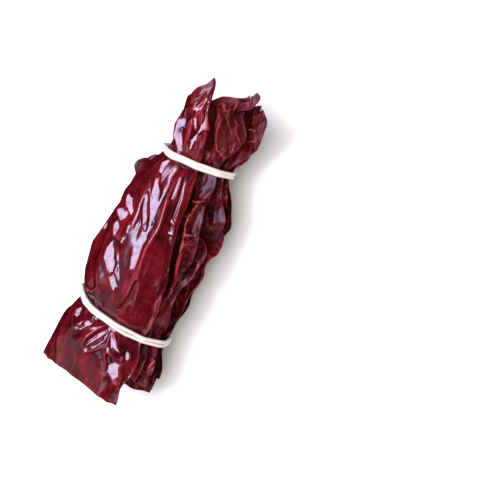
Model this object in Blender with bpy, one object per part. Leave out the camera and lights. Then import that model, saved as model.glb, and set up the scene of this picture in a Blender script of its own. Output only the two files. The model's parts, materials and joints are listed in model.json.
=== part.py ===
"""A bundle of dried red peppers tied with two doubled rubber bands.

Eight flattened, hollow peppers lie in a stack. Their mouths are at the low end of Y and their tips
at the high end. The bundle rests on the lowest pepper, and the glossy front pepper is on top.
Sizes are in millimetres, and MM turns them into metres where the meshes are made.
"""

import itertools
import math

import bmesh
import bpy
import numpy as np
from mathutils import Vector, geometry

MM = 0.001

# The stack: the height of its middle above the floor, and the space that neighbours keep.
AXIS_HEIGHT = 18.0
LAYER_GAP = 1.1
LEAST_LAYER = 1.5

# Where each band ties the stack, and how far its plane leans along Y for each millimetre of X.
LOWER_BAND = {"name": "lower_band", "y": 37.6, "lean": -0.01}
UPPER_BAND = {"name": "upper_band", "y": 120.0, "lean": 0.12}
BANDS = (LOWER_BAND, UPPER_BAND)
STRAND = 1.7
STRAND_SPACING = 2.0
BAND_CLEARANCE = 0.35
BAND_POINTS = 42
CROSSING_ANGLE = math.radians(235.0)
CROSSING_SPREAD = math.radians(34.0)

# The outline of the stack along Y: how far it reaches to the left, to the right and up.
OUTLINE_Y = (0, 10, 24, 37.6, 46, 56, 70, 88, 102, 112, 120, 132, 145, 160)
REACH_RIGHT = (27.5, 27.5, 25.4, 22.0, 23.6, 24.6, 24.2, 24.4, 25.4, 21.0, 16.2, 16.6, 17.8, 19.5)
REACH_LEFT = (30.5, 30.0, 28.6, 24.0, 29.4, 31.4, 30.2, 26.2, 23.2, 19.6, 16.4, 17.2, 17.6, 18.0)
HALF_HEIGHT = (14.5, 15.2, 15.6, 12.8, 16.2, 18.4, 19.0, 18.4, 16.4, 13.4, 11.0, 13.4, 15.5, 17.0)

# Bottom to top. "thick" is the pepper's share of the stack's height. "left" and "right" are its shares
# of the outline's reach. "narrows" is how far before its tip a pepper starts to narrow. The front
# pepper's sides have values of their own below.
PEPPERS = (
    {"name": "pepper_1_lowest", "thick": 5.4, "mouth": 12, "tip": 148, "tip_x": 4, "narrows": 40,
     "left": 0.80, "right": 0.80, "blunt": 0.6},
    {"name": "pepper_2", "thick": 4.4, "mouth": 18, "tip": 143, "tip_x": -6, "narrows": 36,
     "left": 0.95, "right": 0.95, "blunt": 0.5},
    {"name": "pepper_3", "thick": 4.2, "mouth": 8, "tip": 150, "tip_x": 2, "narrows": 38,
     "left": 0.88, "right": 0.90, "blunt": 0.5},
    {"name": "pepper_4", "thick": 4.6, "mouth": 15, "tip": 147, "tip_x": 10.5, "narrows": 30,
     "left": 1.0, "right": 1.0, "blunt": 0.6},
    {"name": "pepper_5", "thick": 4.4, "mouth": 9, "tip": 156, "tip_x": 17.5, "narrows": 38,
     "left": 0.92, "right": 0.92, "blunt": 0.55},
    {"name": "pepper_6_short", "thick": 4.4, "mouth": 16, "tip": 112, "tip_x": -19.8, "narrows": 30,
     "left": 0.90, "right": 0.97, "blunt": 0.55},
    {"name": "pepper_7", "thick": 5.0, "mouth": 11, "tip": 160, "tip_x": 11.0, "narrows": 38,
     "left": 0.85, "right": 0.84, "blunt": 0.6},
    {"name": "pepper_8_front", "thick": 8.0, "mouth": 1.8, "tip": 160, "tip_x": -2.2, "narrows": 38,
     "blunt": 0.3},
)
FRONT = len(PEPPERS) - 1

# The front pepper's sides don't follow the outline throughout, so they have curves of their own. Its
# tip runs straight on and hooks to the right only at its end.
FRONT_SIDE_Y = (0, 9, 23, 37.6, 44, 63, 79, 90, 102, 114, 120, 132, 160)
FRONT_SIDE_X = (20.5, 19.6, 18.6, 16.6, 18.2, 18.8, 15.4, 13.0, 11.0, 7.2, 6.0, 4.8, 5.0)
FRONT_LEFT = 1.03
FRONT_TIP_BULGE = 3.2
FRONT_HOOK = 4.0

# Mouths: the skin's thickness, the depth of the slit and the size of the rim's waves.
SKIN = 0.8
MOUTH_DEPTH = 16.0
RIM_WAVE = 3.4
RIM_FADE = 12.0
FRONT_RIM_SLOPE = 2.6

# Folds and unevenness.
TIP_THICKNESS = 3.4
FRONT_TIP_THICKNESS = 7.0
SIDE_WAVE = 2.6
LAYER_WAVE = 0.95
WARP = 1.9
WARP_LENGTH = 32.0
CRUMPLE = (1.3, 0.9, 1.7)
CRUMPLE_LENGTHS = (14.0, 25.0, 14.0)

# The relief of the front pepper: a crest is (half width, height, its line of (x, y) points).
CRESTS = (
    (2.6, 2.2, ((0.9, 116), (2.5, 103), (4.2, 92), (6.5, 81), (6.9, 70), (7.0, 61), (7.8, 52))),
    (3.0, 1.2, ((10.5, 76), (10.0, 64), (9.5, 54))),
    (2.4, 1.1, ((-11.5, 104), (-7.5, 90), (-7.0, 80))),
    (3.0, 1.4, ((-16.5, 68), (-14.0, 60), (-8.0, 50))),
    (3.6, -1.5, ((-3.0, 112), (-1.0, 96), (1.0, 84))),
    (4.2, -1.6, ((-11.0, 77), (-10.5, 72))),
    (2.6, 1.6, ((-9.0, 33), (-15.0, 24))),
    (2.6, 1.5, ((-2.0, 32), (-9.0, 20))),
    (2.2, -1.3, ((-6.0, 32), (-11.0, 23))),
    (3.4, 1.5, ((6.0, 32), (10.0, 20), (8.0, 12))),
    (2.2, 1.5, ((-5.0, 146), (-3.5, 136), (-4.0, 124))),
    (2.4, -1.2, ((-9.0, 142), (-8.5, 128))),
)

STATIONS = 42
BAND_DENSITY = 1.3
BAND_DENSITY_REACH = 7.0
FRONT_SIDES = 26
INNER_SIDES = 16
FLAT_DEPTH = 0.9


class Noise:
    """Smooth seeded noise from -1 to 1 over three coordinates."""

    CELLS = 32

    def __init__(self, seed):
        self.values = np.random.default_rng(seed).uniform(-1, 1, (self.CELLS,) * 3)

    def __call__(self, x, y, z=0.0):
        spots = np.broadcast_arrays(x, y, z)
        cells = [np.floor(spot).astype(int) for spot in spots]
        parts = [spot - cell for spot, cell in zip(spots, cells)]
        fades = [part * part * (3 - 2 * part) for part in parts]
        total = 0.0
        for corner in itertools.product((0, 1), repeat=3):
            weight = 1.0
            for side, fade in zip(corner, fades):
                weight = weight * (fade if side else 1 - fade)
            index = tuple((cell + side) % self.CELLS for cell, side in zip(cells, corner))
            total = total + weight * self.values[index]
        return total


layer_noise = [Noise(seed) for seed in range(10, 10 + len(PEPPERS))]
side_noise = [Noise(seed) for seed in range(30, 30 + len(PEPPERS))]
rim_noise = [Noise(seed) for seed in range(50, 50 + len(PEPPERS))]
warp_noise = [Noise(seed) for seed in (70, 71, 72)]
crumple_noise = [Noise(seed) for seed in (80, 81, 82)]


def ease(value):
    """0 below 0, 1 above 1 and a smooth step between."""
    value = np.clip(value, 0, 1)
    return value * value * (3 - 2 * value)


def through(y, stations, values):
    """A smooth curve through the values at their stations."""
    stations = np.array(stations, float)
    values = np.array(values, float)
    slopes = np.gradient(values, stations)
    i = np.clip(np.searchsorted(stations, y) - 1, 0, len(stations) - 2)
    run = stations[i + 1] - stations[i]
    t = np.clip((y - stations[i]) / run, 0, 1)
    return (
        (1 + 2 * t) * (1 - t) ** 2 * values[i]
        + t * (1 - t) ** 2 * run * slopes[i]
        + t * t * (3 - 2 * t) * values[i + 1]
        + t * t * (t - 1) * run * slopes[i + 1]
    )


def line_distance(x, y, line):
    """The distance to a line of points, and the share of the line's length where it is nearest."""
    corners = np.array(line, float)
    steps = np.diff(corners, axis=0)
    lengths = np.hypot(steps[:, 0], steps[:, 1])
    starts = np.concatenate([[0], np.cumsum(lengths)])
    nearest = np.full(np.shape(x), 1e9)
    share = np.zeros(np.shape(x))
    for (cx, cy), (sx, sy), length, start in zip(corners, steps, lengths, starts):
        t = np.clip(((x - cx) * sx + (y - cy) * sy) / length**2, 0, 1)
        distance = np.hypot(x - cx - t * sx, y - cy - t * sy)
        closer = distance < nearest
        nearest = np.where(closer, distance, nearest)
        share = np.where(closer, (start + t * length) / starts[-1], share)
    return nearest, share


def front_relief(x, y):
    """The height of the front pepper's crests and dimples over its smooth form."""
    total = np.zeros(np.shape(x))
    for half_width, height, line in CRESTS:
        distance, share = line_distance(x, y, line)
        fade = 0.35 + 0.65 * np.sin(math.pi * share)
        total = total + height * fade * np.exp(-((distance / half_width) ** 2))
    return total


def levels(x, y):
    """The heights of the surfaces between neighbouring peppers, from the lowest to the highest."""
    shares = np.cumsum([0.0] + [pepper["thick"] for pepper in PEPPERS])
    centre_levels = 2 * shares / shares[-1] - 1
    height = through(y, OUTLINE_Y, HALF_HEIGHT)
    reach = np.where(x > 0, through(y, OUTLINE_Y, REACH_RIGHT), through(y, OUTLINE_Y, REACH_LEFT))
    across = np.minimum(np.abs(x) / reach, 1.12)
    droop = across**3

    def smooth_level(level):
        if level <= 0:
            bend = 0.4 * level**2
        else:
            bend = np.where(x > 0, 0.95 * level**2, 0.9)
        return height * level * (1 - bend * droop)

    smooth = [smooth_level(level) for level in centre_levels]
    freedom = LAYER_WAVE * (0.4 + 0.6 * across)
    raw = [
        np.maximum(above - below, LEAST_LAYER) * np.exp(freedom * noise(x / 15, y / 27))
        for below, above, noise in zip(smooth[:FRONT], smooth[1:], layer_noise)
    ]
    fit = np.maximum((smooth[FRONT] - smooth[0]) / sum(raw), 0.3)
    found = [smooth[0]]
    for thickness in raw:
        found.append(found[-1] + thickness * fit)
    top = smooth[-1] + front_relief(x, y)
    found.append(np.maximum(top, found[-1] + LEAST_LAYER + 1.0))
    return [AXIS_HEIGHT + level for level in found]


def narrowing(pepper, y):
    """1 along a pepper's body, falling to 0 at its tip."""
    share = np.clip((pepper["tip"] - y) / pepper["narrows"], 0, 1)
    pointed = 1 - (1 - share) ** 2
    rounded = np.sqrt(np.maximum(1 - (1 - share) ** 4, 0))
    return pointed + (rounded - pointed) * pepper["blunt"]


def sides(number, y):
    """The x of a pepper's left and right sides."""
    pepper = PEPPERS[number]
    if number == FRONT:
        bulge = FRONT_TIP_BULGE * ease((y - UPPER_BAND["y"]) / 12)
        left = -FRONT_LEFT * through(y, OUTLINE_Y, REACH_LEFT) - bulge
        right = through(y, FRONT_SIDE_Y, FRONT_SIDE_X)
        wave, hook = 0.35 * SIDE_WAVE, FRONT_HOOK
    else:
        left = -pepper["left"] * through(y, OUTLINE_Y, REACH_LEFT)
        right = pepper["right"] * through(y, OUTLINE_Y, REACH_RIGHT)
        wave, hook = SIDE_WAVE, 1.0
    free = 1.0
    for band in BANDS:
        free = free * (1 - 0.8 * np.exp(-(((y - band["y"]) / 8) ** 2)))
    noise = side_noise[number]
    right = right + free * wave * (noise(y / 21, 0.5) + 0.6 * noise(y / 8, 7.5))
    left = left + free * wave * (0.7 * noise(y / 21, 14.5) + 0.5 * noise(y / 8, 21.5))
    narrow = narrowing(pepper, y)
    turn = ease((y - pepper["tip"] + pepper["narrows"]) / pepper["narrows"]) ** hook
    middle = (left + right) / 2 * (1 - turn) + pepper["tip_x"] * turn
    half = (right - left) / 2 * narrow
    return middle - half, middle + half


def crumpled(x, y, z):
    """Where the stack is crumpled: all over but on the smooth front, its underside and by the bands."""
    top = AXIS_HEIGHT + 0.55 * through(y, OUTLINE_Y, HALF_HEIGHT)
    amount = 1 - 0.85 * ease((z - top) / 5) * ease((20 - x) / 12)
    amount = amount * (0.45 + 0.55 * ease((np.abs(x) - 6) / 12))
    for band in BANDS:
        amount = amount * (1 - 0.6 * np.exp(-(((y - band["y"]) / 9) ** 2)))
    return amount * ease(z / 9)


def warp(x, y, z):
    """Moves every point of the stack, alike for neighbours, so that they lie bent and still don't meet."""
    amount = crumpled(x, y, z)
    moved = []
    for axis, slow, quick, height in zip((x, y, z), warp_noise, crumple_noise, CRUMPLE):
        bend = WARP * slow(x / WARP_LENGTH, y / WARP_LENGTH, z / WARP_LENGTH)
        ruck = quick(*(c / length for c, length in zip((x, y, z), CRUMPLE_LENGTHS)))
        moved.append(axis + bend + height * amount * ruck)
    return np.stack(moved, axis=-1)


def skin_points(number, y, angle, inset=0.0, closing=1.0):
    """Points of a pepper's skin at those y and angles round its section, or inset from it."""
    pepper = PEPPERS[number]
    left, right = sides(number, y)
    half_width = np.maximum((right - left) / 2 - inset, 0.05) * closing
    x = (left + right) / 2 + half_width * np.cos(angle)
    found = levels(x, y)
    below = found[number] + LAYER_GAP / 2
    above = found[number + 1] - LAYER_GAP / 2
    middle = (below + above) / 2
    narrow = narrowing(pepper, y)
    tip_half = (FRONT_TIP_THICKNESS if number == FRONT else TIP_THICKNESS) / 2
    beyond = ease((y - UPPER_BAND["y"] - 2) / 12)
    limit = 30 * (1 - beyond) + tip_half * beyond
    limit = np.minimum(limit * (0.25 + 0.75 * narrow), 0.45 + 0.7 * (right - left) / 2)
    half = np.minimum((above - below) / 2, limit)
    round_side = np.sign(np.sin(angle)) * np.abs(np.sin(angle)) ** 0.55
    lean = 0.7 * side_noise[number](y / 13, np.cos(angle) + 30.5)
    middle = middle + half * (1 - np.abs(round_side)) * lean
    z = middle + np.maximum(half - inset, 0.2) * closing * round_side
    return warp(x, y, z)


def stations_along(pepper):
    """The y of a pepper's rings: closer together by the bands, and up to just before its tip."""
    fine = np.linspace(pepper["mouth"], pepper["tip"], 400)
    density = np.ones_like(fine)
    for band in BANDS:
        density += BAND_DENSITY * np.exp(-(((fine - band["y"]) / BAND_DENSITY_REACH) ** 2))
    total = np.concatenate([[0], np.cumsum(density[:-1])])
    length = pepper["tip"] - pepper["mouth"]
    count = max(int(STATIONS * length / 155), 20)
    return np.interp(np.linspace(0, total[-1], count + 1)[:-1], total, fine)


def pepper_rings(number, side_count):
    """The rings of one pepper: from the bottom of its mouth's slit, out to the rim, and on to the tip."""
    pepper = PEPPERS[number]
    angles = np.linspace(0, 2 * math.pi, side_count, endpoint=False)
    across, over = np.cos(angles), np.sin(angles)
    rim = RIM_WAVE * rim_noise[number](1.6 * across + 5, 0.6 * over + 5)
    if number == FRONT:
        rim = 0.25 * rim + FRONT_RIM_SLOPE * across
    rings = []
    for depth, closing in ((1.0, 0.12), (0.92, 0.62), (0.6, 0.9), (0.25, 1.0), (0.0, 1.0)):
        y = pepper["mouth"] + depth * MOUTH_DEPTH + rim * math.exp(-depth * MOUTH_DEPTH / RIM_FADE)
        rings.append(skin_points(number, y, angles, SKIN, closing))
    for station in stations_along(pepper):
        y = station + rim * math.exp((pepper["mouth"] - station) / RIM_FADE)
        rings.append(skin_points(number, y, angles))
    end = skin_points(number, np.array([pepper["tip"] - 0.3]), np.array([0.0]))[0]
    return rings, rings[0].mean(axis=0), end


def loft(name, rings, start, end):
    """A closed mesh object through the rings, with a point at each end."""
    form = bmesh.new()
    corners = [[form.verts.new(Vector(p) * MM) for p in ring] for ring in rings]
    first, last = form.verts.new(Vector(start) * MM), form.verts.new(Vector(end) * MM)
    count = len(corners[0])
    for i in range(count):
        j = (i + 1) % count
        form.faces.new((first, corners[0][j], corners[0][i]))
        form.faces.new((last, corners[-1][i], corners[-1][j]))
        for below, above in zip(corners, corners[1:]):
            form.faces.new((below[i], below[j], above[j], above[i]))
    bmesh.ops.recalc_face_normals(form, faces=form.faces)
    bmesh.ops.triangulate(form, faces=form.faces, quad_method="FIXED")
    mesh = bpy.data.meshes.new(name)
    form.to_mesh(mesh)
    form.free()
    return bpy.data.objects.new(name, mesh)


def flatten_underside(objects, floor):
    """Presses what lies below the floor's height flat, as the bundle's weight does."""
    for item in objects:
        for vertex in item.data.vertices:
            vertex.co.z = max(vertex.co.z, floor)


def slab_points(objects, band):
    """The x and z of where the peppers' edges run through the strip that a band covers."""
    reach = (STRAND_SPACING / 2 + STRAND / 2 + 0.2) * MM
    found = []
    for item in objects:
        corners = [vertex.co for vertex in item.data.vertices]
        for edge in item.data.edges:
            a, b = (corners[i] for i in edge.vertices)
            ya, yb = (p.y - band["y"] * MM - band["lean"] * p.x for p in (a, b))
            if min(ya, yb) > reach or max(ya, yb) < -reach:
                continue
            for limit in (-reach, reach):
                if (ya - limit) * (yb - limit) < 0:
                    p = a.lerp(b, (limit - ya) / (yb - ya))
                    found.append((p.x, p.z))
            found += [(p.x, p.z) for p, d in ((a, ya), (b, yb)) if abs(d) <= reach]
    return found


def around(points, distance):
    """A closed loop round the points at that distance, and the angle of each of its own points."""
    hull = [points[i] for i in geometry.convex_hull_2d(points)]
    hull = np.array(hull)
    turns = np.linspace(0, 2 * math.pi, 720, endpoint=False)
    normals = np.stack([np.cos(turns), np.sin(turns)], axis=-1)
    furthest = hull[np.argmax(normals @ hull.T, axis=1)]
    loop = furthest + distance * normals
    steps = np.linalg.norm(np.diff(np.vstack([loop, loop[:1]]), axis=0), axis=1)
    run = np.concatenate([[0], np.cumsum(steps)])
    even = np.linspace(0, run[-1], BAND_POINTS, endpoint=False)
    closed = np.vstack([loop, loop[:1]])
    x, z = (np.interp(even, run, closed[:, i]) for i in (0, 1))
    facing = np.interp(even, run, np.append(turns, 2 * math.pi))
    return x, z, facing


def band_route(objects, band):
    """The line of a rubber band wound twice round the stack, its turns crossing underneath."""
    radius = STRAND / 2 * MM
    x, z, facing = around(slab_points(objects, band), radius + BAND_CLEARANCE * MM)
    route = []
    for turn, sign in ((0, -1.0), (1, 1.0)):
        progress = ease((facing - CROSSING_ANGLE) / CROSSING_SPREAD + 0.5)
        side = sign * (1 - 2 * progress)
        lift = (1 - np.abs(2 * progress - 1)) * (STRAND + 0.5) * MM if turn else 0 * progress
        for i in range(len(x)):
            px = x[i] + lift[i] * math.cos(facing[i])
            pz = z[i] + lift[i] * math.sin(facing[i])
            py = band["y"] * MM + band["lean"] * px + side[i] * STRAND_SPACING / 2 * MM
            route.append((px, py, pz))
    return route


def rubber_band(objects, band):
    curve = bpy.data.curves.new(band["name"], "CURVE")
    curve.dimensions = "3D"
    curve.bevel_depth = STRAND / 2 * MM
    curve.bevel_resolution = 1
    spline = curve.splines.new("POLY")
    route = band_route(objects, band)
    spline.points.add(len(route) - 1)
    for point, place in zip(spline.points, route):
        point.co = (*place, 1.0)
    spline.use_cyclic_u = True
    return bpy.data.objects.new(band["name"], curve)


def material(name, colour, roughness, coat=0.0):
    made = bpy.data.materials.new(name)
    made.use_nodes = True
    shader = made.node_tree.nodes["Principled BSDF"]
    shader.inputs["Base Color"].default_value = (*colour, 1.0)
    shader.inputs["Roughness"].default_value = roughness
    shader.inputs["Coat Weight"].default_value = coat
    return made


def clear_scene():
    for item in list(bpy.data.objects):
        bpy.data.objects.remove(item)


def stand_on_origin(objects):
    """Parents everything to an empty and puts the bottom centre of the whole box at the origin."""
    bpy.context.view_layer.update()
    graph = bpy.context.evaluated_depsgraph_get()
    corners = []
    for item in objects:
        shape = item.evaluated_get(graph).to_mesh()
        corners += [tuple(vertex.co) for vertex in shape.vertices]
        item.evaluated_get(graph).to_mesh_clear()
    low, high = np.min(corners, axis=0), np.max(corners, axis=0)
    holder = bpy.data.objects.new("bundle", None)
    bpy.context.scene.collection.objects.link(holder)
    holder.location = (-(low[0] + high[0]) / 2, -(low[1] + high[1]) / 2, -low[2])
    for item in objects:
        item.parent = holder


def main():
    clear_scene()
    collection = bpy.data.collections.new("dried_pepper_bundle")
    bpy.context.scene.collection.children.link(collection)
    front_skin = material("glossy_pepper_skin", (0.23, 0.008, 0.02), 0.3, 0.6)
    inner_skin = material("dark_pepper_skin", (0.14, 0.006, 0.012), 0.42, 0.3)
    rubber = material("white_rubber", (0.78, 0.76, 0.68), 0.5)
    peppers = []
    for number, pepper in enumerate(PEPPERS):
        side_count = FRONT_SIDES if number == FRONT else INNER_SIDES
        item = loft(pepper["name"], *pepper_rings(number, side_count))
        item.data.materials.append(front_skin if number == FRONT else inner_skin)
        item.data.shade_smooth()
        peppers.append(item)
        collection.objects.link(item)
    lowest = min(vertex.co.z for vertex in peppers[0].data.vertices)
    flatten_underside(peppers, lowest + FLAT_DEPTH * MM)
    bands = [rubber_band(peppers, band) for band in BANDS]
    for item in bands:
        item.data.materials.append(rubber)
        collection.objects.link(item)
    stand_on_origin(peppers + bands)


main()
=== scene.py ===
"""The looks of a bundle of dried red peppers that two doubled rubber bands hold together.

Eight flattened, hollow peppers lie in a stack. Lengths are in millimetres in the bundle's own frame: Y runs
along it from the cut mouths to the tips, X to its right and Z up through the stack. Placement turns them
into the model's metres.
"""

import functools
import itertools
import json
import math

import bpy
import numpy as np
from bpy.props import FloatProperty, FloatVectorProperty, IntProperty, PointerProperty
from mathutils import Matrix, Vector

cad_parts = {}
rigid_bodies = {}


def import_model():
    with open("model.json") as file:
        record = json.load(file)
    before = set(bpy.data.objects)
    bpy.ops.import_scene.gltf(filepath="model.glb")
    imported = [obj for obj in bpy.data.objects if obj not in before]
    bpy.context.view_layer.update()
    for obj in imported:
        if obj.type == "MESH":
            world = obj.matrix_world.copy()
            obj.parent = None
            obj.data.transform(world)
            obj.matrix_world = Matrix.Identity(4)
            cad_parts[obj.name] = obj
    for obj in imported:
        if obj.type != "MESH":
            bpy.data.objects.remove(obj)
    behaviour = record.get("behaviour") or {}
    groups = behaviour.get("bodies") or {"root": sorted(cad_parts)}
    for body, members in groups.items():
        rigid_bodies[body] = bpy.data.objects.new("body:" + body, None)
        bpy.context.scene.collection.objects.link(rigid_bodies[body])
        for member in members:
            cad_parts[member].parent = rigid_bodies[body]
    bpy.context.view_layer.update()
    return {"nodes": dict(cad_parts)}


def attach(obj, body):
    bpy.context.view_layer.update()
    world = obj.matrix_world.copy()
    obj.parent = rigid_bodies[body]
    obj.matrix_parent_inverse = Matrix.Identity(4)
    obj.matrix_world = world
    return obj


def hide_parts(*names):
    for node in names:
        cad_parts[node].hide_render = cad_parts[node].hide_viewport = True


bl_info = {
    "name": "Dried Pepper Bundle",
    "version": (1, 0, 0),
    "blender": (4, 5, 0),
    "location": "View3D > Sidebar > Pepper Bundle",
    "description": "Builds a tied bundle of dried red peppers around its solid model",
    "category": "Add Mesh",
}

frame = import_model()
BODY = "root"
MM = 0.001

# The stack: the height of its middle above its lowest point, the space that neighbours keep, the least
# thickness of a layer and of the front one, and how far layers may be squeezed.
AXIS_HEIGHT = 18.0
CAD_GAP = 1.1
SKIN_GAP = 0.7
LEAST_LAYER = 1.5
LEAST_FRONT = 2.5
LEAST_FIT = 0.3

# Where each band ties the stack, and how far its plane leans along Y for each millimetre of X.
LOWER_BAND = {"name": "lower_band", "y": 37.6, "lean": -0.01}
UPPER_BAND = {"name": "upper_band", "y": 120.0, "lean": 0.12}
BANDS = (LOWER_BAND, UPPER_BAND)
BAND_CLEARANCE = 0.12
BAND_TURNS, BAND_POINTS = 720, 180
STRAND_SWAY, SWAY_LENGTH = 0.3, 8.0

# Where a band's two turns cross underneath, over what angle, and how far one is lifted over the other.
CROSSING_ANGLE = math.radians(235.0)
CROSSING_SPREAD = math.radians(34.0)
CROSSING_LIFT = 0.2

# The outline of the stack along Y: how far it reaches to the left, to the right and up.
OUTLINE_Y = (0, 10, 24, 37.6, 46, 56, 70, 88, 102, 112, 120, 132, 145, 160)
REACH_RIGHT = (27.5, 27.5, 25.4, 22.0, 23.6, 24.6, 24.2, 24.4, 25.4, 21.0, 16.2, 16.6, 17.8, 19.5)
REACH_LEFT = (30.5, 30.0, 28.6, 24.0, 29.4, 31.4, 30.2, 26.2, 23.2, 19.6, 16.4, 17.2, 17.6, 18.0)
HALF_HEIGHT = (14.5, 15.2, 15.6, 12.8, 16.2, 18.4, 19.0, 18.4, 16.4, 13.4, 11.0, 13.4, 15.5, 17.0)

# Bottom to top. "thick" is the pepper's share of the stack's height. "left" and "right" are its shares
# of the outline's reach. "narrows" is how far before its tip a pepper starts to narrow. The front
# pepper's sides have values of their own below.
PEPPERS = (
    {"name": "pepper_1_lowest", "thick": 5.4, "mouth": 12, "tip": 148, "tip_x": 4, "narrows": 40,
     "left": 0.80, "right": 0.80, "blunt": 0.6},
    {"name": "pepper_2", "thick": 4.4, "mouth": 18, "tip": 143, "tip_x": -6, "narrows": 36,
     "left": 0.95, "right": 0.95, "blunt": 0.5},
    {"name": "pepper_3", "thick": 4.2, "mouth": 8, "tip": 150, "tip_x": 2, "narrows": 38,
     "left": 0.88, "right": 0.90, "blunt": 0.5},
    {"name": "pepper_4", "thick": 4.6, "mouth": 15, "tip": 147, "tip_x": 10.5, "narrows": 30,
     "left": 1.0, "right": 1.0, "blunt": 0.6},
    {"name": "pepper_5", "thick": 4.4, "mouth": 9, "tip": 156, "tip_x": 17.5, "narrows": 38,
     "left": 0.92, "right": 0.92, "blunt": 0.55},
    {"name": "pepper_6_short", "thick": 4.4, "mouth": 16, "tip": 112, "tip_x": -19.8, "narrows": 30,
     "left": 0.90, "right": 0.97, "blunt": 0.55},
    {"name": "pepper_7", "thick": 5.0, "mouth": 11, "tip": 160, "tip_x": 11.0, "narrows": 38,
     "left": 0.85, "right": 0.84, "blunt": 0.6},
    {"name": "pepper_8_front", "thick": 8.0, "mouth": 1.8, "tip": 160, "tip_x": -2.2, "narrows": 38,
     "blunt": 0.3},
)
FRONT = len(PEPPERS) - 1

# The front pepper's sides don't follow the outline throughout, so they have curves of their own. Its
# tip runs straight on and hooks to the right only at its end.
FRONT_SIDE_Y = (0, 9, 23, 37.6, 44, 63, 79, 90, 102, 114, 120, 132, 160)
FRONT_SIDE_X = (20.5, 19.6, 18.6, 16.6, 18.2, 18.8, 15.4, 13.0, 11.0, 7.2, 6.0, 4.8, 5.0)
FRONT_LEFT = 1.03
FRONT_TIP_BULGE = 3.2
FRONT_HOOK = 4.0

# Mouths: the depth of the slit, the size of the rim's waves, and how far they and the torn lip reach.
MOUTH_DEPTH = 16.0
RIM_WAVE = 3.4
RIM_FADE = 12.0
LIP_FADE = 2.5

# How far the cut edges stay back at the right: that of each pepper in the stack, where below 0 is further
# out, and more for the three that leave a hollow.
RIM_SLOPE = -1.5
HOLLOW = {6: 8.5, 5: 5.0, 4: 5.0}
HOLLOW_START, HOLLOW_RUN = 0.1, 0.35

# The line of the photograph's pixels that the front pepper's cut edge follows.
FRONT_MOUTH = (
    (48, 358), (56, 363.5), (66, 370), (76, 378), (86, 386), (95, 393.5), (104, 400.5), (112, 403.5),
)
FRONT_RIM_WAVE = 0.12

# The stack's sides: how much its layers droop there below its middle, above it at the right and above it at
# the left, and how far out they still do.
DROOP_BELOW, DROOP_RIGHT, DROOP_LEFT = 0.4, 0.95, 0.9
DROOP_REACH = 1.12

# Folds and unevenness, with the lengths that they run over.
TIP_THICKNESS = 3.4
FRONT_TIP_THICKNESS = 7.0
TIP_RUN = 12.0
SIDE_WAVE = 2.6
FRONT_SIDE_WAVE = 0.35
SIDE_LENGTHS = (21.0, 8.0)
LAYER_WAVE = 0.95
LAYER_LENGTHS = (15.0, 27.0)
WARP = 1.9
WARP_LENGTHS = (32.0, 32.0, 32.0)
CRUMPLE = (1.3, 0.9, 1.7)
CRUMPLE_LENGTHS = (14.0, 25.0, 14.0)

# Where the stack is held: how much a band calms the sides' waves and the crumple, and how far from it. The
# front is smooth above a share of the height and left of a line, and the underside is pressed flat.
SIDE_HOLD, SIDE_HOLD_REACH = 0.8, 8.0
CRUMPLE_HOLD, CRUMPLE_HOLD_REACH = 0.6, 9.0
SMOOTH_HEIGHT = 0.55
FRONT_SMOOTHNESS = 0.85
SMOOTH_RIGHT = 20.0
MIDDLE_CRUMPLE = 0.45
UNDERSIDE = 9.0

# The finer bends that neighbours share, which the solid model is too coarse for.
RUCK = (1.0, 0.6, 1.5)
RUCK_LENGTHS = (6.0, 11.0, 6.0)

# The relief of the front pepper: a crest is (half width, height, its line of (x, y) points).
CRESTS = (
    (2.6, 2.2, ((0.9, 116), (2.5, 103), (4.2, 92), (6.5, 81), (6.9, 70), (7.0, 61), (7.8, 52))),
    (3.0, 1.2, ((10.5, 76), (10.0, 64), (9.5, 54))),
    (2.4, 1.1, ((-11.5, 104), (-7.5, 90), (-7.0, 80))),
    (3.0, 1.4, ((-16.5, 68), (-14.0, 60), (-8.0, 50))),
    (3.6, -1.5, ((-3.0, 112), (-1.0, 96), (1.0, 84))),
    (4.2, -1.6, ((-11.0, 77), (-10.5, 72))),
    (2.6, 1.6, ((-9.0, 33), (-15.0, 24))),
    (2.6, 1.5, ((-2.0, 32), (-9.0, 20))),
    (2.2, -1.3, ((-6.0, 32), (-11.0, 23))),
    (3.4, 1.5, ((6.0, 32), (10.0, 20), (8.0, 12))),
    (2.2, 1.5, ((-5.0, 146), (-3.5, 136), (-4.0, 124))),
    (2.4, -1.2, ((-9.0, 142), (-8.5, 128))),
)

# The fine mesh: rows along each pepper, columns round it and rows inside its mouth, over how many of them
# ridges show, and how much the columns crowd to the sides, or on the front pepper to its top.
FRONT_ROWS, FRONT_COLUMNS = 320, 280
ROWS, COLUMNS = 340, 220
SLIT_ROWS = 30
RIDGE_STEPS = (2, 5)
SIDE_CROWDING = 0.45
TOP_CROWDING = 0.4
BODY_LENGTH = 155.0

# The fine surface: the skin's thickness, its lip at a mouth, how far its last ring is from the tip, how much
# thinner its edges are than the solid model's, and how much of its depth a crease may take up.
SKIN = 0.55
LIP = 0.25
TIP_END = 0.3
EDGE_THINNESS = 0.5
CREASE_ROOM = 0.72

# Folds that fan out from under the bands, the dip that a band presses in, the swelling beside it and the
# strip of skin that carries it.
FANS = 5.0
FAN_HEIGHT = 1.0
FAN_LENGTH = 9.0
FRONT_FAN = 0.6
PRESS, PRESS_WIDTH = 0.35, 3.2
SWELL, SWELL_AWAY, SWELL_WIDTH = 0.08, 4.8, 2.2
STRIP = 4.2

# The tips: their long folds, how far those in the stack buckle and how ragged they end, and how the front
# one's end is slanted, drawn in and leaning.
TIP_FOLD = 1.3
TIP_BUCKLE = 1.5
BUCKLE_LENGTHS = (5.5, 8.5)
RAGGED = 4.6
TIP_EDGE_RUN = 16.0
TIP_SLANT = 1.4
TIP_SHRINK = 0.24
TIP_LEAN = 0.9

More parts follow.
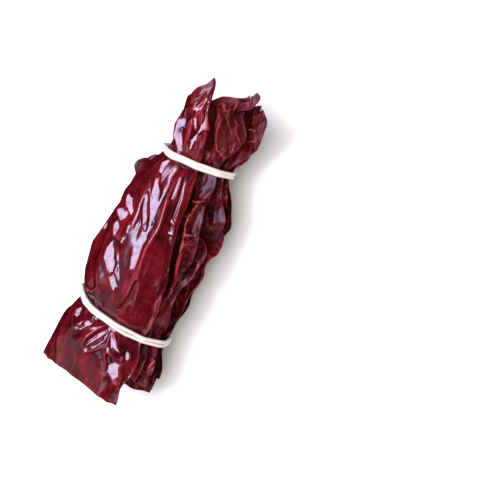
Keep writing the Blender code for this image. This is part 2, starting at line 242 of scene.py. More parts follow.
# The end of the pepper next to the front one: how far it is drawn in at its right, how far its last corner
# leans to the right, and where along Y that is.
SECOND_NOTCH = (6.0, 149.5, 5.0)
SECOND_LEAN = (4.2, 154.0, 5.0)
SECOND_SLANT = 2.2

# The skin between its ridges: the size of its facets in X, Y and Z and how deep it sags in them. The front
# pepper has smooth swells instead.
WIDE_FACETS = (7.5, 14.0, 6.5)
SMALL_FACETS = (3.6, 6.5, 3.4)
FRONT_STRETCH = 1.6
FACET_BEND = 2.2
FACET_BEND_LENGTHS = (13.0, 19.0, 13.0)
SAG = 1.5
SMALL_SAG = 0.9
RIPPLE = 0.06
RIPPLE_LENGTHS = (2.4, 4.8, 3.0)
SWELLS = (11.0, 26.0, 14.0)
SWELL_HEIGHT = 0.75

# The front pepper's shelves, where its skin lies just so that it mirrors the window: (half width, how far
# the slope is right along the line too, line of the photograph's pixels).
SHELVES = (
    (2.3, 1.0, ((131, 196), (129, 205), (129.5, 214))),
    (2.6, 1.0, ((125, 209), (120.5, 219))),
    (1.8, 1.0, ((118, 221), (114.5, 234))),
    (1.4, 0.6, ((147, 194), (144.5, 211), (144.9, 230))),
    (3.3, 1.0, ((111.5, 245), (109, 257), (111, 271))),
    (2.0, 1.0, ((112, 275), (114.5, 289))),
    (0.8, 1.0, ((171, 218), (173.5, 225))),
    (0.9, 1.0, ((167.5, 232), (173, 234.5))),
    (0.8, 0.6, ((107.5, 222), (103.7, 229.5))),
    (1.3, 0.5, ((169.5, 161), (164, 165), (158.8, 176))),
    (1.9, 0.5, ((158.5, 176), (155.8, 194), (154.4, 210), (151, 225))),
    (2.3, 0.5, ((152, 221), (144, 235), (137, 249), (132.5, 268))),
    (0.9, 0.3, ((181, 178), (176.5, 188), (171, 200))),
    (0.8, 1.0, ((139, 221), (135, 229))),
    (0.7, 1.0, ((131, 224), (127, 233))),
    (0.8, 1.0, ((125, 236), (122, 243))),
    (2.5, 1.0, ((193, 114), (186, 117), (181, 126), (179.5, 138), (180, 149))),
    (1.2, 1.0, ((204, 112), (206.5, 117), (204.5, 126), (199, 133))),
    (1.0, 1.0, ((197, 134), (193, 140), (191.5, 149))),
    (0.8, 1.0, ((194, 116), (195.5, 124), (196, 129))),
    (1.5, 1.0, ((80.5, 309), (75.6, 315))),
    (1.3, 1.0, ((84, 323.5), (91, 324))),
    (0.8, 1.0, ((87.5, 345), (97, 338), (107, 331.5))),
    (1.0, 1.0, ((111, 337), (113, 344), (119, 352))),
    (3.0, 0.9, ((107, 358), (113, 369), (118, 382))),
    (1.2, 1.0, ((126, 352), (129, 360))),
)
SHELF_EDGE = (0.62, 0.85)
SHELF_UNEVENNESS = 0.28
SHELF_LENGTHS = (2.6, 3.4)
LEAST_SLANT = 0.4
FLATNESS = 0.9
SHELF_LIMIT = 2.6
LINE_SAMPLES = 25

# The front pepper's ridges and hollows: (half width, height, sharpness, line of the photograph's pixels).
FOLDS = (
    (0.9, 0.9, 1.3, ((175, 180), (165, 209), (158.3, 229.4), (146, 249.5), (141, 263), (137, 280))),
    (1.4, -0.7, 2.0, ((170, 186), (161, 208), (155, 226), (143, 247), (138, 262))),
    (0.6, 0.5, 1.4, ((153.5, 252.4), (149, 264), (144, 278))),
    (0.6, 0.45, 1.4, ((163, 262), (160, 280), (158, 296))),
    (1.3, -0.6, 2.0, ((150, 186), (149, 205), (149.5, 220))),
    (1.2, -0.6, 2.0, ((136, 196), (134, 210), (131, 217))),
    (1.2, -0.5, 2.0, ((120, 246), (118.5, 262), (119, 278))),
    (1.3, -1.0, 2.0, ((170, 262), (164, 285), (160, 305), (157, 322))),
    (0.9, -0.9, 2.0, ((137, 283), (129, 297), (120, 310))),
    (0.8, 0.7, 1.4, ((139, 286), (135, 300), (131, 314))),
    (0.9, -0.8, 2.0, ((184, 178), (179, 200), (172, 222), (168, 243))),
    (0.6, 0.6, 1.3, ((180, 206), (174, 228), (171, 244))),
    (0.7, 0.8, 1.4, ((84.6, 276), (85.5, 284), (92.2, 291), (98, 287))),
    (0.6, 0.8, 1.3, ((97, 306), (87.3, 305), (78, 308), (73.2, 315), (72.8, 324), (76.5, 328.9))),
    (0.6, 0.8, 1.3, ((76.5, 328.9), (86.4, 329.8), (93.1, 328.1), (106.3, 325.2))),
    (2.4, -1.3, 2.0, ((86, 315), (94, 318), (103, 321))),
    (0.7, 0.9, 1.3, ((103, 326.8), (93.1, 332.2), (86.4, 337.2), (82.9, 344.7), (86.4, 351.5))),
    (0.7, 0.9, 1.3, ((86.4, 351.5), (95, 350), (106.3, 345), (110.5, 333))),
    (1.6, -0.8, 2.0, ((91, 340), (98, 335))),
    (1.2, -0.7, 2.0, ((95, 346), (104, 340))),
    (0.8, 0.9, 1.3, ((113, 334), (118, 345), (124.5, 355), (121, 361))),
    (1.8, -0.9, 2.0, ((101, 356), (104, 371))),
    (1.5, -0.7, 2.0, ((122, 372), (125, 385))),
    (0.9, 0.9, 1.4, ((210, 103), (210, 117), (206.5, 132), (202, 148))),
    (1.2, -0.7, 2.0, ((199, 116), (196, 130), (190, 148))),
    (0.7, 0.7, 1.4, ((205, 92), (196, 98), (190, 104))),
    (1.0, -0.7, 2.0, ((207, 97), (200, 103), (195, 108))),
)

# The same for the pepper next to the front one, whose layers show at its right.
SECOND_FOLDS = (
    (0.7, 1.3, 1.2, ((191.5, 201), (205.5, 202))),
    (0.7, 1.0, 1.2, ((205.5, 202), (203, 214))),
    (0.7, 1.2, 1.2, ((196, 236), (185.7, 235.3))),
    (0.7, 1.2, 1.2, ((212.5, 178.5), (209.3, 188.7))),
    (0.8, 1.0, 1.2, ((192, 254), (186, 266), (181, 280))),
)

# The dark crevice along the front pepper's right edge: its half width, its line, and how deep each pepper
# under it is pressed in.
CREVICE_WIDTH = 2.0
CREVICE = ((191, 192), (188, 203), (182, 220), (176, 240), (171, 260), (167, 277), (163, 295))
CREVICE_DEPTHS = {6: 3.4, 5: 2.6, 4: 1.6, 3: 0.8}

# The folds of the tips behind the front one, which bend as a whole.
TIP_FOLDS = {
    6: (
        (1.8, -3.2, 2.0, ((213, 108), (210, 128), (207, 154))),
        (1.2, 2.0, 1.3, ((222, 118), (217, 134), (217, 150), (222, 166))),
        (1.4, -2.4, 2.0, ((219, 108), (225, 122), (228, 136), (228, 152))),
        (0.8, 1.5, 1.3, ((227, 116), (231, 130), (229, 142))),
        (1.0, 1.8, 1.3, ((235, 94), (238, 103), (241, 112))),
        (1.5, -2.4, 2.0, ((228, 101), (232, 112), (235, 124))),
        (1.0, 1.2, 1.3, ((236, 128), (240, 140), (236, 152))),
    ),
    4: (
        (1.0, 1.8, 1.3, ((243, 128), (254, 131))),
        (1.2, -1.6, 2.0, ((244, 124), (254, 125))),
        (1.0, 1.6, 1.3, ((244, 141), (254, 142))),
        (1.2, -2.0, 2.0, ((242, 147), (250, 149))),
        (1.0, 1.4, 1.3, ((254, 108), (258, 116), (254, 122))),
    ),
}

# Colours that aren't settings: most belong to the dried skin, but the crease colour is painted shade, the
# ridge colour a painted highlight, and the stack's factor darkens the skins behind, partly as painted shade.
CREASE_PAINTED_SHADE = (0.012, 0.0012, 0.0025)
DUST_COLOUR = (0.34, 0.13, 0.11)
RIDGE_PAINTED_HIGHLIGHT = (0.46, 0.11, 0.095)
TORN_COLOUR = (0.17, 0.022, 0.017)
INNER_DARK = (0.035, 0.006, 0.005)
INNER_LIGHT = (0.17, 0.030, 0.014)
GRIME_TINT = (0.82, 0.74, 0.62)
STACK_DARKNESS_AND_SHADE = 0.62
WORN_COLOUR = (0.075, 0.0045, 0.0055)
SHINE_TINT = (0.9, 0.8, 1.0)

# How strong each finish is on the front pepper and on those behind: the coat, the shine, the dust, the
# painted light on ridges and painted shade in creases, and the wear.
FRONT_LOOK = {"coat": 0.9, "shine": 0.5, "dust": 0.12, "ridge_light_and_crease_shade": 0.45, "wear": 0.75}
STACK_LOOK = {"coat": 0.1, "shine": 0.22, "dust": 0.9, "ridge_light_and_crease_shade": 1.0, "wear": 1.0}

# The patterns in the finishes, to a metre: (scale, detail, roughness, distortion).
BLOTCHES = (70, 5, 0.6, 0.4)
STREAKS = (260, 4, 0.6)
STREAK_STRETCH = (1.0, 0.22, 1.0)
GRAIN = (1500, 3, 0.6)
MOTTLE = (420, 4, 0.65)
FLECKS = 330.0
POWDER = (900, 5, 0.65)
GRIME = (160, 4, 0.6)
BUMP_DEPTH = 0.0002

# The strands: their slow sway and twist, and the unevenness of their surface in metres.
SWAY_SCALE = 45.0
ROUGH_SCALE = 520.0
STRAND_UNEVENNESS = 0.00018
STRAND_ROUNDING = 0.36
SEED_STEP = 7.3

# The camera: its angle to the side and along the bundle, how far the bundle leans in the picture, the point
# of the bundle (y, z) that is seen at the photograph's pixel, and the size of a pixel there.
CAMERA_SIDE = math.radians(28.0)
CAMERA_RISE = math.radians(18.0)
LEAN = math.radians(26.4)
CAMERA_DISTANCE = 0.5
PHOTO_POINT = (78.25, 18.0)
PHOTO_SPOT = (161.0, 239.5)
PHOTO_CENTRE = 250.0
MM_PER_PIXEL = 0.46
SPOT_STEPS = 25

# The stage, in metres. A light's direction from the bundle is (right, up, towards the camera) as the picture
# shows it. A light is (name, direction, distance, size, power, colour, whether the skins mirror it).
FLOOR_SIZE = 14.0
WORLD_STRENGTH = 0.45
LIGHTS = (
    ("key_window", (-0.75, 0.20, 0.63), 0.9, (0.34, 0.72), 9.0, (0.82, 0.76, 1.0), True),
    ("window_glow", (-0.75, 0.20, 0.63), 0.93, (0.62, 1.05), 2.4, (0.86, 0.78, 1.0), True),
    ("soft_fill", (-0.15, 0.05, 0.97), 1.3, (1.3, 1.3), 14.0, (1.0, 0.96, 0.9), False),
    ("low_glow", (-0.8, -0.3, -0.15), 0.9, (0.9, 0.6), 0.7, (1.0, 0.72, 0.82), True),
    ("dim_window", (-0.55, -0.62, 0.55), 1.0, (0.5, 0.35), 1.0, (0.9, 0.8, 1.0), True),
)


class Noise:
    """Smooth seeded noise from -1 to 1 over three coordinates."""

    CELLS = 32

    def __init__(self, seed):
        self.values = np.random.default_rng(seed).uniform(-1, 1, (self.CELLS,) * 3)

    def fade(self, part):
        return part * part * (3 - 2 * part)

    def height(self, index, steps):
        return self.values[index]

    def __call__(self, x, y, z=0.0):
        spots = np.broadcast_arrays(x, y, z)
        cells = [np.floor(spot).astype(int) for spot in spots]
        parts = [spot - cell for spot, cell in zip(spots, cells)]
        fades = [self.fade(part) for part in parts]
        total = 0.0
        for corner in itertools.product((0, 1), repeat=3):
            weight = math.prod(fade if side else 1 - fade for side, fade in zip(corner, fades))
            index = tuple((cell + side) % self.CELLS for cell, side in zip(cells, corner))
            total = total + weight * self.height(index, [part - side for part, side in zip(parts, corner)])
        return total


class Ripple(Noise):
    """Seeded gradient noise of about -1 to 1, smooth enough for a glossy skin."""

    GAIN = 1.7

    def __init__(self, seed):
        arrows = np.random.default_rng(seed).normal(size=(self.CELLS,) * 3 + (3,))
        self.slopes = self.GAIN * arrows / np.linalg.norm(arrows, axis=-1, keepdims=True)

    def fade(self, part):
        return part**3 * (part * (6 * part - 15) + 10)

    def height(self, index, steps):
        slope = self.slopes[index]
        return sum(step * slope[..., k] for k, step in enumerate(steps))


class Facets:
    """Seeded cells over three coordinates: 1 on the ridges where they meet and near 0 in their middles."""

    CELLS = 32
    RIDGE = 0.7

    def __init__(self, seed):
        draw = np.random.default_rng(seed)
        self.spots = draw.uniform(0, 1, (self.CELLS,) * 3 + (3,))
        self.weights = draw.uniform(0, 0.3, (self.CELLS,) * 3)

    def __call__(self, x, y, z=0.0):
        places = np.stack(np.broadcast_arrays(x, y, z), axis=-1)
        cells = np.floor(places).astype(int)
        nearest = np.full(places.shape[:-1], np.inf)
        for step in itertools.product((-1, 0, 1), repeat=3):
            near = cells + step
            index = tuple(np.moveaxis(near % self.CELLS, -1, 0))
            away = near + self.spots[index] - places
            nearest = np.minimum(nearest, (away**2).sum(axis=-1) + self.weights[index])
        return np.clip(nearest / self.RIDGE, 0, 1)


def drawn(kind, seed, count=len(PEPPERS)):
    """Noises of a kind, one for each pepper or axis, whose seeds count up."""
    return [kind(seed + i) for i in range(count)]


layer_noise = drawn(Noise, 10)
side_noise = drawn(Noise, 30)
rim_noise = drawn(Noise, 50)
warp_noise = drawn(Noise, 70, 3)
crumple_noise = drawn(Noise, 80, 3)
ruck_noise = drawn(Ripple, 90, 3)
fold_noise = drawn(Ripple, 100)
bend_noise = drawn(Ripple, 120, 3)
wide_facets = drawn(Facets, 130)
small_facets = drawn(Facets, 150)


def ease(value):
    """0 below 0, 1 above 1 and a smooth step between."""
    value = np.clip(value, 0, 1)
    return value * value * (3 - 2 * value)


def bell(away, width, sharpness=2.0):
    """1 at 0 and falling off on both sides."""
    return np.exp(-(np.abs(away / width) ** sharpness))


def fold_crest(value, bluntness, sharpness):
    """High where a noise passes 0, like the crest of a fold."""
    return np.maximum(1 - np.sqrt(value**2 + bluntness), 0) ** sharpness


def drawn_out(share, start):
    """The strength along a drawn line, which fades towards its ends."""
    return np.sin(math.pi * np.clip(start + (1 - 2 * start) * share, 0, 1)) ** 0.7


def scaled(places, lengths):
    """Coordinates as shares of the lengths that a pattern runs over."""
    return [place / length for place, length in zip(places, lengths)]


def through(y, stations, values):
    """A smooth curve through the values at their stations."""
    stations = np.array(stations, float)
    values = np.array(values, float)
    slopes = np.gradient(values, stations)
    i = np.clip(np.searchsorted(stations, y) - 1, 0, len(stations) - 2)
    run = stations[i + 1] - stations[i]
    t = np.clip((y - stations[i]) / run, 0, 1)
    return (
        (1 + 2 * t) * (1 - t) ** 2 * values[i]
        + t * (1 - t) ** 2 * run * slopes[i]
        + t * t * (3 - 2 * t) * values[i + 1]
        + t * t * (t - 1) * run * slopes[i + 1]
    )


def line_distance(x, y, line):
    """The distance to a line of points, and the share of the line's length where it is nearest."""
    corners = np.array(line, float)
    steps = np.diff(corners, axis=0)
    lengths = np.hypot(steps[:, 0], steps[:, 1])
    starts = np.concatenate([[0], np.cumsum(lengths)])
    nearest = np.full(np.shape(x), 1e9)
    share = np.zeros(np.shape(x))
    for (cx, cy), (sx, sy), length, start in zip(corners, steps, lengths, starts):
        t = np.clip(((x - cx) * sx + (y - cy) * sy) / length**2, 0, 1)
        distance = np.hypot(x - cx - t * sx, y - cy - t * sy)
        closer = distance < nearest
        nearest = np.where(closer, distance, nearest)
        share = np.where(closer, (start + t * length) / starts[-1], share)
    return nearest, share


def front_relief(x, y):
    """The height of the front pepper's crests and dimples over its smooth form."""
    total = np.zeros(np.shape(x))
    for half_width, height, line in CRESTS:
        distance, share = line_distance(x, y, line)
        fade = 0.35 + 0.65 * np.sin(math.pi * share)
        total = total + height * fade * bell(distance, half_width)
    return total


def stack_reach(x, y):
    """How far the stack reaches at the side of it that x is on."""
    return np.where(x > 0, through(y, OUTLINE_Y, REACH_RIGHT), through(y, OUTLINE_Y, REACH_LEFT))


def band_away(x, y, band):
    """How far from a band's plane those places are, along the bundle."""
    return np.abs(y - band["y"] - band["lean"] * x)


def levels(x, y):
    """The heights of the surfaces between neighbouring peppers, from the lowest to the highest."""
    shares = np.cumsum([0.0] + [pepper["thick"] for pepper in PEPPERS])
    centre_levels = 2 * shares / shares[-1] - 1
    height = through(y, OUTLINE_Y, HALF_HEIGHT)
    across = np.minimum(np.abs(x) / stack_reach(x, y), DROOP_REACH)
    droop = across**3

    def smooth_level(level):
        if level <= 0:
            bend = DROOP_BELOW * level**2
        else:
            bend = np.where(x > 0, DROOP_RIGHT * level**2, DROOP_LEFT)
        return height * level * (1 - bend * droop)

    smooth = [smooth_level(level) for level in centre_levels]
    freedom = LAYER_WAVE * (0.4 + 0.6 * across)
    raw = [
        np.maximum(above - below, LEAST_LAYER) * np.exp(freedom * noise(*scaled((x, y), LAYER_LENGTHS)))
        for below, above, noise in zip(smooth[:FRONT], smooth[1:], layer_noise)
    ]
    fit = np.maximum((smooth[FRONT] - smooth[0]) / sum(raw), LEAST_FIT)
    found = [smooth[0]]
    for thickness in raw:
        found.append(found[-1] + thickness * fit)
    top = smooth[-1] + front_relief(x, y)
    found.append(np.maximum(top, found[-1] + LEAST_FRONT))
    return [AXIS_HEIGHT + level for level in found]


def narrowing(pepper, y):
    """1 along a pepper's body, falling to 0 at its tip."""
    share = np.clip((pepper["tip"] - y) / pepper["narrows"], 0, 1)
    pointed = 1 - (1 - share) ** 2
    rounded = np.sqrt(np.maximum(1 - (1 - share) ** 4, 0))
    return pointed + (rounded - pointed) * pepper["blunt"]


def sides(number, y):
    """The x of a pepper's left and right sides."""
    pepper = PEPPERS[number]
    if number == FRONT:
        bulge = FRONT_TIP_BULGE * ease((y - UPPER_BAND["y"]) / TIP_RUN)
        left = -FRONT_LEFT * through(y, OUTLINE_Y, REACH_LEFT) - bulge
        right = through(y, FRONT_SIDE_Y, FRONT_SIDE_X)
        wave, hook = FRONT_SIDE_WAVE * SIDE_WAVE, FRONT_HOOK
    else:
        left = -pepper["left"] * through(y, OUTLINE_Y, REACH_LEFT)
        right = pepper["right"] * through(y, OUTLINE_Y, REACH_RIGHT)
        wave, hook = SIDE_WAVE, 1.0
    free = 1.0
    for band in BANDS:
        free = free * (1 - SIDE_HOLD * bell(y - band["y"], SIDE_HOLD_REACH))
    noise = side_noise[number]
    slow, quick = scaled((y, y), SIDE_LENGTHS)
    right = right + free * wave * (noise(slow, 0.5) + 0.6 * noise(quick, 7.5))
    left = left + free * wave * (0.7 * noise(slow, 14.5) + 0.5 * noise(quick, 21.5))
    narrow = narrowing(pepper, y)
    turn = ease((y - pepper["tip"] + pepper["narrows"]) / pepper["narrows"]) ** hook
    middle = (left + right) / 2 * (1 - turn) + pepper["tip_x"] * turn
    half = (right - left) / 2 * narrow
    return middle - half, middle + half


def crumpled(x, y, z):
    """Where the stack is crumpled: all over but on the smooth front, its underside and by the bands."""
    top = AXIS_HEIGHT + SMOOTH_HEIGHT * through(y, OUTLINE_Y, HALF_HEIGHT)
    amount = 1 - FRONT_SMOOTHNESS * ease((z - top) / 5) * ease((SMOOTH_RIGHT - x) / 12)
    amount = amount * (MIDDLE_CRUMPLE + (1 - MIDDLE_CRUMPLE) * ease((np.abs(x) - 6) / 12))
    for band in BANDS:
        amount = amount * (1 - CRUMPLE_HOLD * bell(y - band["y"], CRUMPLE_HOLD_REACH))
    return amount * ease(z / UNDERSIDE)


def warp(x, y, z, fine):
    """Moves every point of the stack, alike for neighbours, so that they lie bent and still don't meet."""
    form = (x, y, z)
    amount = crumpled(*form)
    moved = []
    for axis, slow, quick, height in zip(form, warp_noise, crumple_noise, CRUMPLE):
        bend = WARP * slow(*scaled(form, WARP_LENGTHS))
        moved.append(axis + bend + height * amount * quick(*scaled(form, CRUMPLE_LENGTHS)))
    if fine:
        for i, (noise, height) in enumerate(zip(ruck_noise, RUCK)):
            moved[i] = moved[i] + height * amount * noise(*scaled(form, RUCK_LENGTHS))
    return np.stack(np.broadcast_arrays(*moved), axis=-1)


def skin_form(number, y, angle, inset=0.0, closing=1.0, fine=False):
    """A pepper's skin at those y and angles round its section, before the stack is warped: x, y, z and the
    height of its middle."""
    pepper = PEPPERS[number]
    gap = SKIN_GAP if fine else CAD_GAP
    left, right = sides(number, y)
    half_width = np.maximum((right - left) / 2 - inset, 0.05) * closing
    x = (left + right) / 2 + half_width * np.cos(angle)
    found = levels(x, y)
    below = found[number] + gap / 2
    above = found[number + 1] - gap / 2
    middle = (below + above) / 2
    narrow = narrowing(pepper, y)
    tip_half = (FRONT_TIP_THICKNESS if number == FRONT else TIP_THICKNESS) / 2
    beyond = ease((y - UPPER_BAND["y"] - 2) / TIP_RUN)
    limit = 30 * (1 - beyond) + tip_half * beyond
    limit = np.minimum(limit * (0.25 + 0.75 * narrow), 0.45 + 0.7 * (right - left) / 2)
    half = np.minimum((above - below) / 2, limit)
    thin = 0.0
    if fine and number != FRONT:
        thin = EDGE_THINNESS * (0.55 + 0.45 * side_noise[number](y / 9, np.cos(angle) + 40.5))
    round_side = np.sign(np.sin(angle)) * np.abs(np.sin(angle)) ** (0.55 + thin)
    lean = (1.0 if fine else 0.7) * side_noise[number](y / 13, np.cos(angle) + 30.5)
    middle = middle + half * (1 - np.abs(round_side)) * lean
    z = middle + np.maximum(half - inset, 0.2) * closing * round_side
    return np.broadcast_arrays(x, y, z, middle)


@functools.cache
def placement():
    """The shift in millimetres to the model's frame, found from the front pepper's tip, which both have."""
    tip = np.array([PEPPERS[FRONT]["tip"] - TIP_END])
    here = warp(*skin_form(FRONT, tip, np.array([0.0]))[:3], False)[0]
    solid = frame["nodes"][PEPPERS[FRONT]["name"]].data
    corners = np.array([corner.co for corner in solid.vertices])
    return corners[np.argmax(corners[:, 1])] / MM - here


def fan_folds(number, x, y, side):
    """Folds that run out from under the bands, closest together at the band."""
    across = x / stack_reach(x, y)
    total = 0.0
    for k, band in enumerate(BANDS):
        away = band_away(x, y, band)
        value = fold_noise[number](across * FANS + 5 * k, away / 18 + 9 * k, side * 1.7)
        total = total + FAN_HEIGHT * np.exp(-away / FAN_LENGTH) * (fold_crest(value, 0.006, 1.6) - 0.55)
    return total


def tip_folds(number, across, y, side):
    """Folds along a pepper's tip, beyond the upper band."""
    beyond = ease((y - UPPER_BAND["y"] - 1) / 9)
    value = fold_noise[number](across * 2.1 + 11.5, y / 24 + 3, side * 1.3 + 7)
    return beyond * TIP_FOLD * (fold_crest(value, 0.004, 1.4) - 0.5)


def band_press(x, y):
    """The dip where a band presses in and the swelling on both sides of it."""
    total = 0.0
    for band in BANDS:
        away = band_away(x, y, band)
        total = total - PRESS * bell(away, PRESS_WIDTH) + SWELL * bell(away - SWELL_AWAY, SWELL_WIDTH)
    return total


def named_folds(number, folds, x, y):
    """A pepper's ridges and hollows that are drawn one by one."""
    total = np.zeros(np.shape(x))
    for half_width, height, sharpness, pixels in folds:
        distance, share = line_distance(x, y, photo_spots(number, pixels))
        total = total + height * drawn_out(share, 0.12) * bell(distance, half_width, sharpness)
    return total


def front_rim(x):
    """How far the front pepper's cut edge lies from its mouth at those x."""
    spots = photo_spots(FRONT, FRONT_MOUTH)
    return np.interp(x, spots[:, 0], spots[:, 1]) - PEPPERS[FRONT]["mouth"]


def tip_edge(number, across, y):
    """How far a tip's end runs on: slanted on the front pepper and ragged on the others."""
    near = ease((y - PEPPERS[number]["tip"] + TIP_EDGE_RUN) / TIP_EDGE_RUN)
    if number == FRONT:
        return near * (TIP_SLANT * across - 1.0)
    value = fold_noise[number](2.3 * across + 9, 0.5, 3.5)
    quick = fold_noise[number](5.5 * across + 3, 8.5, 1.5)
    slant = SECOND_SLANT * across if number == FRONT - 1 else 0.0
    return near * (slant + RAGGED * (0.1 - 2.2 * np.abs(value) + 0.8 * np.abs(quick)))


def upper_skin(number, x, y):
    """The places in the model, in millimetres, of a pepper's plain upper skin above those x and y."""
    left, right = sides(number, y)
    angle = np.arccos(np.clip((2 * x - left - right) / (right - left), -1, 1))
    form = skin_form(number, y, angle, fine=True)[:3]
    return warp(*form, True) + placement()


def photo_spots(number, pixels):
    """The (x, y) on a pepper's plain upper skin that the photograph shows at those pixels."""
    place, right, up, back = camera_frame(CAMERA_DISTANCE)
    pixels = np.array(pixels, float)
    wide = (pixels[:, 0] - PHOTO_CENTRE) * MM_PER_PIXEL * MM / CAMERA_DISTANCE
    high = (PHOTO_CENTRE - pixels[:, 1]) * MM_PER_PIXEL * MM / CAMERA_DISTANCE
    rays = wide[:, None] * np.array(right) + high[:, None] * np.array(up) - np.array(back)
    x, y = np.zeros(len(pixels)), np.full(len(pixels), PHOTO_POINT[0])
    for _ in range(SPOT_STEPS):
        here = upper_skin(number, x, y)
        reach = (here[:, 2] - place.z / MM) / rays[:, 2]
        seen = np.array(place) / MM + rays * reach[:, None]
        x, y = x + seen[:, 0] - here[:, 0], y + seen[:, 1] - here[:, 1]
    return np.stack([x, y], axis=-1)


def unit(vectors):
    return vectors / np.maximum(np.linalg.norm(vectors, axis=-1, keepdims=True), 1e-9)


def skin_normals(x, y):
    """The normals of the front pepper's plain skin."""
    step = 0.5
    with_x = upper_skin(FRONT, x + step, y) - upper_skin(FRONT, x - step, y)
    with_y = upper_skin(FRONT, x, y + step) - upper_skin(FRONT, x, y - step)
    return unit(np.cross(with_x, with_y))


def window_normals(spots):
    """The normals that would mirror the window to the camera at those places."""
    _, direction, distance, *_ = LIGHTS[0]
    window = np.array(seen_middle() + light_direction(direction) * distance)
    camera = np.array(camera_frame(CAMERA_DISTANCE)[0])
    return unit(unit(window - spots * MM) + unit(camera - spots * MM))


def along(values, shares, part):
    """Places or directions between those at the shares of a line's length."""
    return np.stack([np.interp(part, shares, values[:, k]) for k in range(values.shape[1])], axis=-1)


def shelf_line(pixels, tilt):
    """A shelf's line in the bundle, and at each share of it the skin, the mirroring normal and the climb."""
    spots = photo_spots(FRONT, pixels)
    run = np.concatenate([[0], np.cumsum(np.hypot(*np.diff(spots, axis=0).T))])
    shares = np.linspace(0, 1, LINE_SAMPLES)
    line = along(spots, run, shares * run[-1])
    ground = upper_skin(FRONT, *line.T)
    normal = skin_normals(*line.T)
    wanted = window_normals(ground)
    steps = np.diff(ground, axis=0) * (wanted[1:] + wanted[:-1]) / 2
    climb = np.concatenate([[0], np.cumsum(-steps.sum(axis=-1) / (normal * wanted).sum(axis=-1)[1:])])
    return spots, shares, ground, wanted, tilt * (climb - np.interp(0.5, shares, climb))


def shelves(x, y):
    """The height of the shelves that mirror the window, and where they are."""
    total, cover = np.zeros(np.shape(x)), np.zeros(np.shape(x))
    for half_width, tilt, pixels in SHELVES:
        spots, shares, ground, wanted, climb = shelf_line(pixels, tilt)
        distance, share = line_distance(x, y, spots)
        near = distance < 2 * half_width
        part, near_x, near_y = share[near], x[near], y[near]
        facing = along(wanted, shares, part)
        drop = ((along(ground, shares, part) - upper_skin(FRONT, near_x, near_y)) * facing).sum(axis=-1)
        slant = np.maximum((skin_normals(near_x, near_y) * facing).sum(axis=-1), LEAST_SLANT)
        height = FLATNESS * drop / slant + np.interp(part, shares, climb)
        waves = fold_noise[2](*scaled((near_x, near_y), SHELF_LENGTHS), half_width)
        ends = 0.45 + 0.55 * np.sin(math.pi * np.clip(part, 0, 1)) ** 0.6
        edge = distance[near] / (half_width * (1 + SHELF_UNEVENNESS * waves) * ends)
        mask = 1 - ease((edge - SHELF_EDGE[0]) / SHELF_EDGE[1])
        total[near] += mask * np.clip(height, -SHELF_LIMIT, SHELF_LIMIT)
        cover[near] = np.maximum(cover[near], mask)
    return total, cover


def facet_creases(number, x, y, z, stretch):
    """How deep the skin sags between its sharp ridges, from 0 to 1, at two scales."""
    spots = scaled((x, y, z), FACET_BEND_LENGTHS)
    bent = [(axis + FACET_BEND * bend(*spots)) / stretch for axis, bend in zip((x, y, z), bend_noise)]
    wide = wide_facets[number](*scaled(bent, WIDE_FACETS))
    small = small_facets[number](*scaled(bent, SMALL_FACETS))
    return 1 - wide, small


def front_relief_fine(form, angle, across):
    """The front pepper's skin: smooth swells with few creases, and drawn folds."""
    x, y, z = form
    side = np.sin(angle)
    top = ease((side + 0.15) / 0.3)
    spots = scaled(form, SWELLS)
    swells = SWELL_HEIGHT * fold_noise[FRONT](*spots)
    swells = swells + 0.3 * SWELL_HEIGHT * fold_noise[0](*(2.1 * spot for spot in spots))
    risen, cover = shelves(x, y)
    plain = 1 - 0.9 * cover
    sag, small = facet_creases(FRONT, x, y, z, FRONT_STRETCH)
    rough = 0.2 + 0.8 * ease((np.abs(across) - 0.62) / 0.3)
    rough = np.maximum(rough, 0.9 * ease((y - 146) / 6))
    creases = -0.5 * rough * (sag**1.5 + 0.3 * small**2)
    swells = swells + RIPPLE * fold_noise[1](*scaled(form, RIPPLE_LENGTHS))
    folds = top * (plain * (swells + named_folds(FRONT, FOLDS, x, y)) + risen) + (1 - top) * creases
    total = folds + plain * creases + plain * FRONT_FAN * fan_folds(FRONT, x, y, side)
    return total + 0.35 * plain * tip_folds(FRONT, across, y, side)


def stack_relief(number, form, angle, across):
    """The skins below the front pepper: crumpled all over, most of all at their sides and tips."""
    x, y, z = form
    side = np.sin(angle)
    free = np.maximum(ease((np.abs(across) - 0.4) / 0.4), ease((y - UPPER_BAND["y"] - 3) / 8))
    free = np.maximum(free, ease((LOWER_BAND["y"] - 3 - y) / 8))
    free = np.maximum(free, 1.3 * ease((y - PEPPERS[number]["tip"] + 18) / 8))
    sag, small = facet_creases(number, x, y, z, 1.0)
    carve = (0.5 + 0.5 * free) * (SAG * sag**1.3 + SMALL_SAG * small**1.2)
    total = 0.3 - carve + fan_folds(number, x, y, side) * (0.25 + 0.45 * free)
    if number == FRONT - 1:
        total = total + ease(side / 0.3) * named_folds(number, SECOND_FOLDS, x, y)
    return total + 0.8 * tip_folds(number, across, y, side)


def relief(number, form, angle, height):
    """How far the skin stands out from its plain form, in folds, creases and wrinkles."""
    x, y, z = form
    left, right = sides(number, y)
    across = (x - (left + right) / 2) / np.maximum((right - left) / 2, 0.5)
    if number == FRONT:
        total = front_relief_fine(form, angle, across)
    else:
        total = stack_relief(number, form, angle, across)
    taper = ease((PEPPERS[number]["tip"] - y) / 5)
    return height * (total * (0.25 + 0.75 * taper) + band_press(x, y))


def grid_normals(points):
    """The outward unit normals of a grid of points whose columns close round."""
    along = np.gradient(points, axis=0)
    around = np.roll(points, -1, axis=1) - np.roll(points, 1, axis=1)
    return unit(np.cross(along, around))


